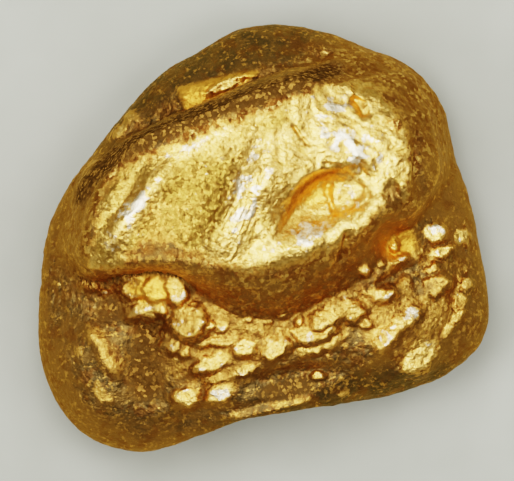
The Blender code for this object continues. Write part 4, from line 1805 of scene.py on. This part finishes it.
class GoldSurface(NodeBench):
    """The node tree of native gold, built up layer by layer."""

    def __init__(self, gold: NativeGold) -> None:
        """Adds the nodes that read the mesh's marks and the noises that all layers share.

        Args:
            gold: The colours and measures of the finish.
        """
        super().__init__("native_gold_worn_painted_light")
        self.gold = gold
        self.bright = self.stored("burnish_and_light")
        self.painted_glint = self.stored("painted_glint")
        self.hollow = self.stored("hollow")
        self.crease = self.stored("crease")
        self.grit = self.stored("grit")
        self.crust = self.stored("crust")
        self.mottle = self.noise(gold.mottle_size, 4.0, 0.6, self.tall)
        self.tone = self.noise(gold.tone_size, 3.0, 0.6, self.tall)
        self.speck = self.noise(gold.speck_size, 3.0, 0.6, self.tall)
        self.fine = self.grains(gold.fine, self.place)
        self.coarse = self.grains(gold.coarse, self.stir(self.tall, *gold.coarse_stir))
        self.crystals = self.span(self.fine.luck, 0.66, 0.76, 0.0, 0.7)
        self.dull_and_shade = self._dull_and_shade()
        self.gleam = self._gleam()
        self.deep = self._deep()
        self.painted_reflection = self.times(self.stored("painted_reflection"), self.span(self.bright, 0.95, 0.75))
        metal = self.span(self.deep, 0.1, 0.9, 1.0, 0.0)
        self.metal = self.larger(metal, self.larger(self.crystals, self.painted_reflection))

    def build(self) -> bpy.types.Material:
        """Joins all layers to the shader.

        Returns:
            The material.
        """
        shader = self.shader.inputs
        self.join(self._colour(), shader["Base Color"])
        self.join(self.metal, shader["Metallic"])
        self.join(self._roughness(), shader["Roughness"])
        self.join(self._dents(), shader["Normal"])
        shader["Specular Tint"].default_value = (*self.gold.edge, 1.0)
        shader["Specular IOR Level"].default_value = 0.0
        return self.material

    def _dull_and_shade(self) -> Socket:
        """Works out how far the burnished metal turns darker olive: at random, and as painted
        shade on the marked patches.

        Returns:
            A share from 0 to 1.
        """
        marked = self.times(self.stored("dull_and_shade"), self.span(self.mottle, 0.25, 0.60, 0.55, 1.0))
        dull_and_shade = self.larger(marked, self.span(self.tone, 0.50, 0.36, 0.0, 0.55))
        return self.sum("SUBTRACT", dull_and_shade, self.times(self.painted_glint, self.gold.painted_glint_undulling))

    def _gleam(self) -> Socket:
        """Works out the painted highlight: pale flecks on the slab's highlight patches, except in
        creases.

        Returns:
            A share from 0 to 1.
        """
        painted_glint = self.times(self.painted_glint, self.gold.gleam_from_glint)
        gleam = self.add(painted_glint, self.noise(self.gold.gleam_size, 3.0, 0.6))
        crease = self.span(self.crease, 0.0, 0.005, 1.0, 0.0)
        return self.times(self.span(gleam, 0.65, 0.83), crease)

    def _deep(self) -> Socket:
        """Works out where the surface turns dark brown: soil in the hollows, and soil and painted
        shade where they were marked.

        Returns:
            A share from 0 to 1.
        """
        deep = self.larger(self.span(self.hollow, 0.008, 0.034), self.stored("dirt_and_shade"))
        return self.times(deep, self.span(self.speck, 0.30, 0.60, 0.65, 1.0))

    def _worn(self) -> Socket:
        """Works out how far the metal is worn bright, a little different in each grain.

        Returns:
            A share that can go a little past 0 and 1.
        """
        ridge = self.span(self.hollow, 0.004, -0.012)
        worn = self.add(self.bright, self.times(ridge, self.gold.ridge_wear))
        for source, wear in (
            (self.mottle, self.gold.mottle_wear),
            (self.fine.luck, self.gold.fine_wear),
            (self.coarse.luck, self.gold.coarse_wear),
        ):
            worn = self.add(worn, self.span(source, 0.3, 0.7, -wear, wear))
        return worn

    def _burnished(self) -> Socket:
        """Colours the burnished metal.

        Returns:
            The colour.
        """
        gold = self.gold
        colour = self.blend(self.span(self.speck, 0.36, 0.58), gold.rubbed, gold.burnished)
        # Darker olive gold where the slab is less bright, partly painted shade.
        colour = self.blend(self.span(self.dull_and_shade, 0.0, 1.0), colour, gold.grained_and_shaded)
        # Painted shade: the slab's creases are tinted a darker, warmer gold.
        crease = self.span(self.crease, 0.001, 0.010, 0.0, 0.7)
        colour = self.blend(crease, colour, gold.rubbed)
        # Painted highlight: pale flecks over the gold.
        return self.blend(self.gleam, colour, gold.painted_highlight)

    def _bare_metal(self) -> Socket:
        """Colours the metal without crust and soil, from painted shade and the plain brown to
        burnished gold.

        Returns:
            The colour.
        """
        gold = self.gold
        # Painted shade: dark olive laid over the plain brown.
        painted_shade = self.times(self.stored("painted_shade"), self.span(self.mottle, 0.35, 0.55, 0.6, 1.0))
        colour = self.blend(painted_shade, gold.plain, gold.painted_shade_olive)
        blotch = self.times(self.span(self.tone, 0.50, 0.62), gold.blotches)
        colour = self.blend(blotch, colour, gold.crusted)
        dots = self.noise(gold.dot_size, 2.0, 0.6, self.tall)
        colour = self.blend(self.span(dots, 0.58, 0.70, 0.0, 0.8), colour, gold.rubbed)
        worn = self._worn()
        colour = self.blend(self.span(worn, 0.20, 0.65), colour, gold.rubbed)
        # Gold where worn bright, mostly on surfaces that face up: partly wear, partly painted
        # light from above.
        return self.blend(self.span(worn, 0.60, 0.95), colour, self._burnished())

    def _colour(self) -> Socket:
        """Lays crust, dark grains, soil, painted shade and painted warm reflection over the bare
        metal.

        Returns:
            The colour of the whole surface.
        """
        gold, luck = self.gold, self.coarse.luck
        crumb = self.blend(self.span(luck, 0.56, 0.66), gold.crusted, gold.crystal)
        crumb = self.blend(self.span(luck, 0.69, 0.79), crumb, gold.burnished)
        border = self.span(self.coarse.border, 0.16, 0.0, 0.0, 0.5)
        crumb = self.blend(border, crumb, gold.crusted)
        colour = self.blend(self.crust, self._bare_metal(), crumb)
        gaps = self.span(self.fine.border, 0.14, 0.02, 0.0, 0.35)
        dark = self.larger(gaps, self.span(self.fine.luck, 0.56, 0.74, 0.0, 0.60))
        colour = self.blend(self.times(dark, self.grit), colour, gold.dark_grain)
        # Soil in hollows, and painted shade along the slab's feet and on the shelf.
        colour = self.blend(self.deep, colour, gold.dirt_and_shade_brown)
        colour = self.blend(self.times(self.deep, self.crystals), colour, gold.crystal)
        # Painted warm reflection: orange in hollows and on the flake.
        colour = self.blend(self.painted_reflection, colour, gold.painted_reflection)
        # Oxide in the pit, and painted shade on the scoop's rim and on the crusted slope at the
        # back right.
        return self.blend(self.stored("rust_and_shade"), colour, gold.rust_and_shade_brown)

    def _roughness(self) -> Socket:
        """Works out the roughness: least where the metal is bright, most on dirt.

        Returns:
            The roughness.
        """
        gold = self.gold
        rough = self.span(self.speck, 0.3, 0.7, gold.sheen_low, gold.sheen_high)
        rough = self.add(rough, self.span(self.dull_and_shade, 0.0, 1.0, 0.0, gold.dull_sheen))
        rough = self.add(rough, self.times(self.gleam, gold.gleam_sheen))
        rough = self.add(rough, self.span(self.bright, 0.4, 0.95, gold.worn_sheen, 0.0))
        return self.add(rough, self.span(self.metal, 1.0, 0.0, 0.0, gold.dirt_and_shade_sheen))

    def _dents(self) -> Socket:
        """Dents the surface and tilts its grains.

        Returns:
            The surface's direction.
        """
        gold = self.gold
        calm = self.span(self.bright, 0.7, 1.0, 1.0, 0.6)
        dents = self.noise(gold.dent_size, 4.0, 0.65)
        dents = self.bump(dents, gold.dent_depth, strength=calm)
        dents = self.bump(self.noise(gold.nick_size, 3.0, 0.6), gold.nick_depth, dents)
        dents = self.bump(self.fine.height, 1.0, dents, self.times(self.grit, gold.tilt))
        return self.bump(self.coarse.height, 1.0, dents, self.times(self.crust, gold.tilt))


@dataclass(frozen=True)
class PaleGround:
    """The plain pale ground that the nugget lies on."""

    size: float = 400.0
    pale: Colour = (0.41, 0.42, 0.365)
    paler: Colour = (0.45, 0.46, 0.405)

    def build(self) -> bpy.types.Object:
        """Lays the ground under the nugget and dresses it.

        Returns:
            The ground.
        """
        bpy.ops.object.select_all(action="DESELECT")
        bpy.ops.mesh.primitive_plane_add(size=self.size * MM)
        ground = bpy.context.object
        ground.name = "ground"
        bench = NodeBench("pale_card")
        tone = bench.blend(bench.span(bench.noise(1.4, 3.0), 0.3, 0.7), self.pale, self.paler)
        bench.join(tone, bench.shader.inputs["Base Color"])
        bench.shader.inputs["Roughness"].default_value = 0.9
        ground.data.materials.append(bench.material)
        return ground


# --- Light and view ---


class Lamp(Enum):
    """The studio's lamps: place and size in millimetres, power in watts."""

    KEY = ((-4.0, 5.0, 30.0), 13.0, 0.0050)
    LEFT_GLINT = ((-15.0, -5.0, 29.0), 11.0, 0.0022)
    RIGHT_GLINT = ((9.5, -2.4, 30.0), 11.0, 0.0022)
    FAR_GLINT = ((24.0, 14.0, 28.0), 11.0, 0.0020)
    BACK_GLINT = ((1.3, 33.0, 28.0), 11.0, 0.0018)
    FRONT_GLINT = ((0.5, -6.0, 30.0), 7.0, 0.0013)
    DOME = ((-3.0, 4.0, 30.0), 52.0, 0.0012)
    WIDE = ((-2.0, 3.0, 32.0), 120.0, 0.0070)

    def hang(self) -> None:
        """Hangs the lamp so that it shines on the nugget."""
        place, size, power = self.value
        light = bpy.data.lights.new(f"lamp_{self.name.lower()}", "AREA")
        light.shape = "DISK"
        light.size = size * MM
        light.energy = power
        lamp = bpy.data.objects.new(light.name, light)
        lamp.location = Vector(place) * MM
        lamp.rotation_euler = (-Vector(place)).to_track_quat("-Z", "Y").to_euler()
        lamp.visible_camera = False
        bpy.context.scene.collection.objects.link(lamp)


@dataclass(frozen=True)
class Studio:
    """Plain soft light from above in dim grey surroundings."""

    surroundings: Colour = (0.108, 0.104, 0.078)

    def build(self) -> None:
        """Hangs the lamps and sets the surroundings."""
        for lamp in Lamp:
            lamp.hang()
        world = bpy.data.worlds.new("dim_room")
        world.use_nodes = True
        room = world.node_tree.nodes["Background"].inputs["Color"]
        room.default_value = (*self.surroundings, 1.0)
        bpy.context.scene.world = world
        bpy.context.scene.view_settings.view_transform = "Filmic"
        bpy.context.scene.view_settings.look = "High Contrast"


@dataclass(frozen=True)
class TopView:
    """A long lens that looks straight down on the nugget."""

    lens: float = 450.0
    sensor: float = 36.0
    width: float = 5.14
    focus_height: float = 1.2
    middle: Plan = (-0.07, -0.025)

    def build(self) -> bpy.types.Object:
        """Sets the camera up so that the picture is as wide as it should be.

        Returns:
            The camera.
        """
        view = bpy.data.cameras.new("view")
        view.lens = self.lens
        view.sensor_width = self.sensor
        view.clip_start = 0.1 * MM
        view.clip_end = 1.0
        camera = bpy.data.objects.new("view", view)
        away = self.width * self.lens / self.sensor
        camera.location = Vector((*self.middle, away + self.focus_height)) * MM
        bpy.context.scene.collection.objects.link(camera)
        bpy.context.scene.camera = camera
        return camera


def main() -> None:
    """Builds the nugget, its ground and its studio, in that order."""
    logging.basicConfig(level=logging.INFO, format="%(name)s: %(message)s")
    nugget = Nugget()
    piece = nugget.build()
    nugget.dress(piece.data, NativeGold().make())
    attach(piece, BODY)
    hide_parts(NODE)
    log.info("%s has %d triangles", piece.name, len(piece.data.polygons))
    ground = PaleGround().build()
    log.info("%s is laid", ground.name)
    TopView().build()
    Studio().build()


if __name__ == "__main__":
    main()
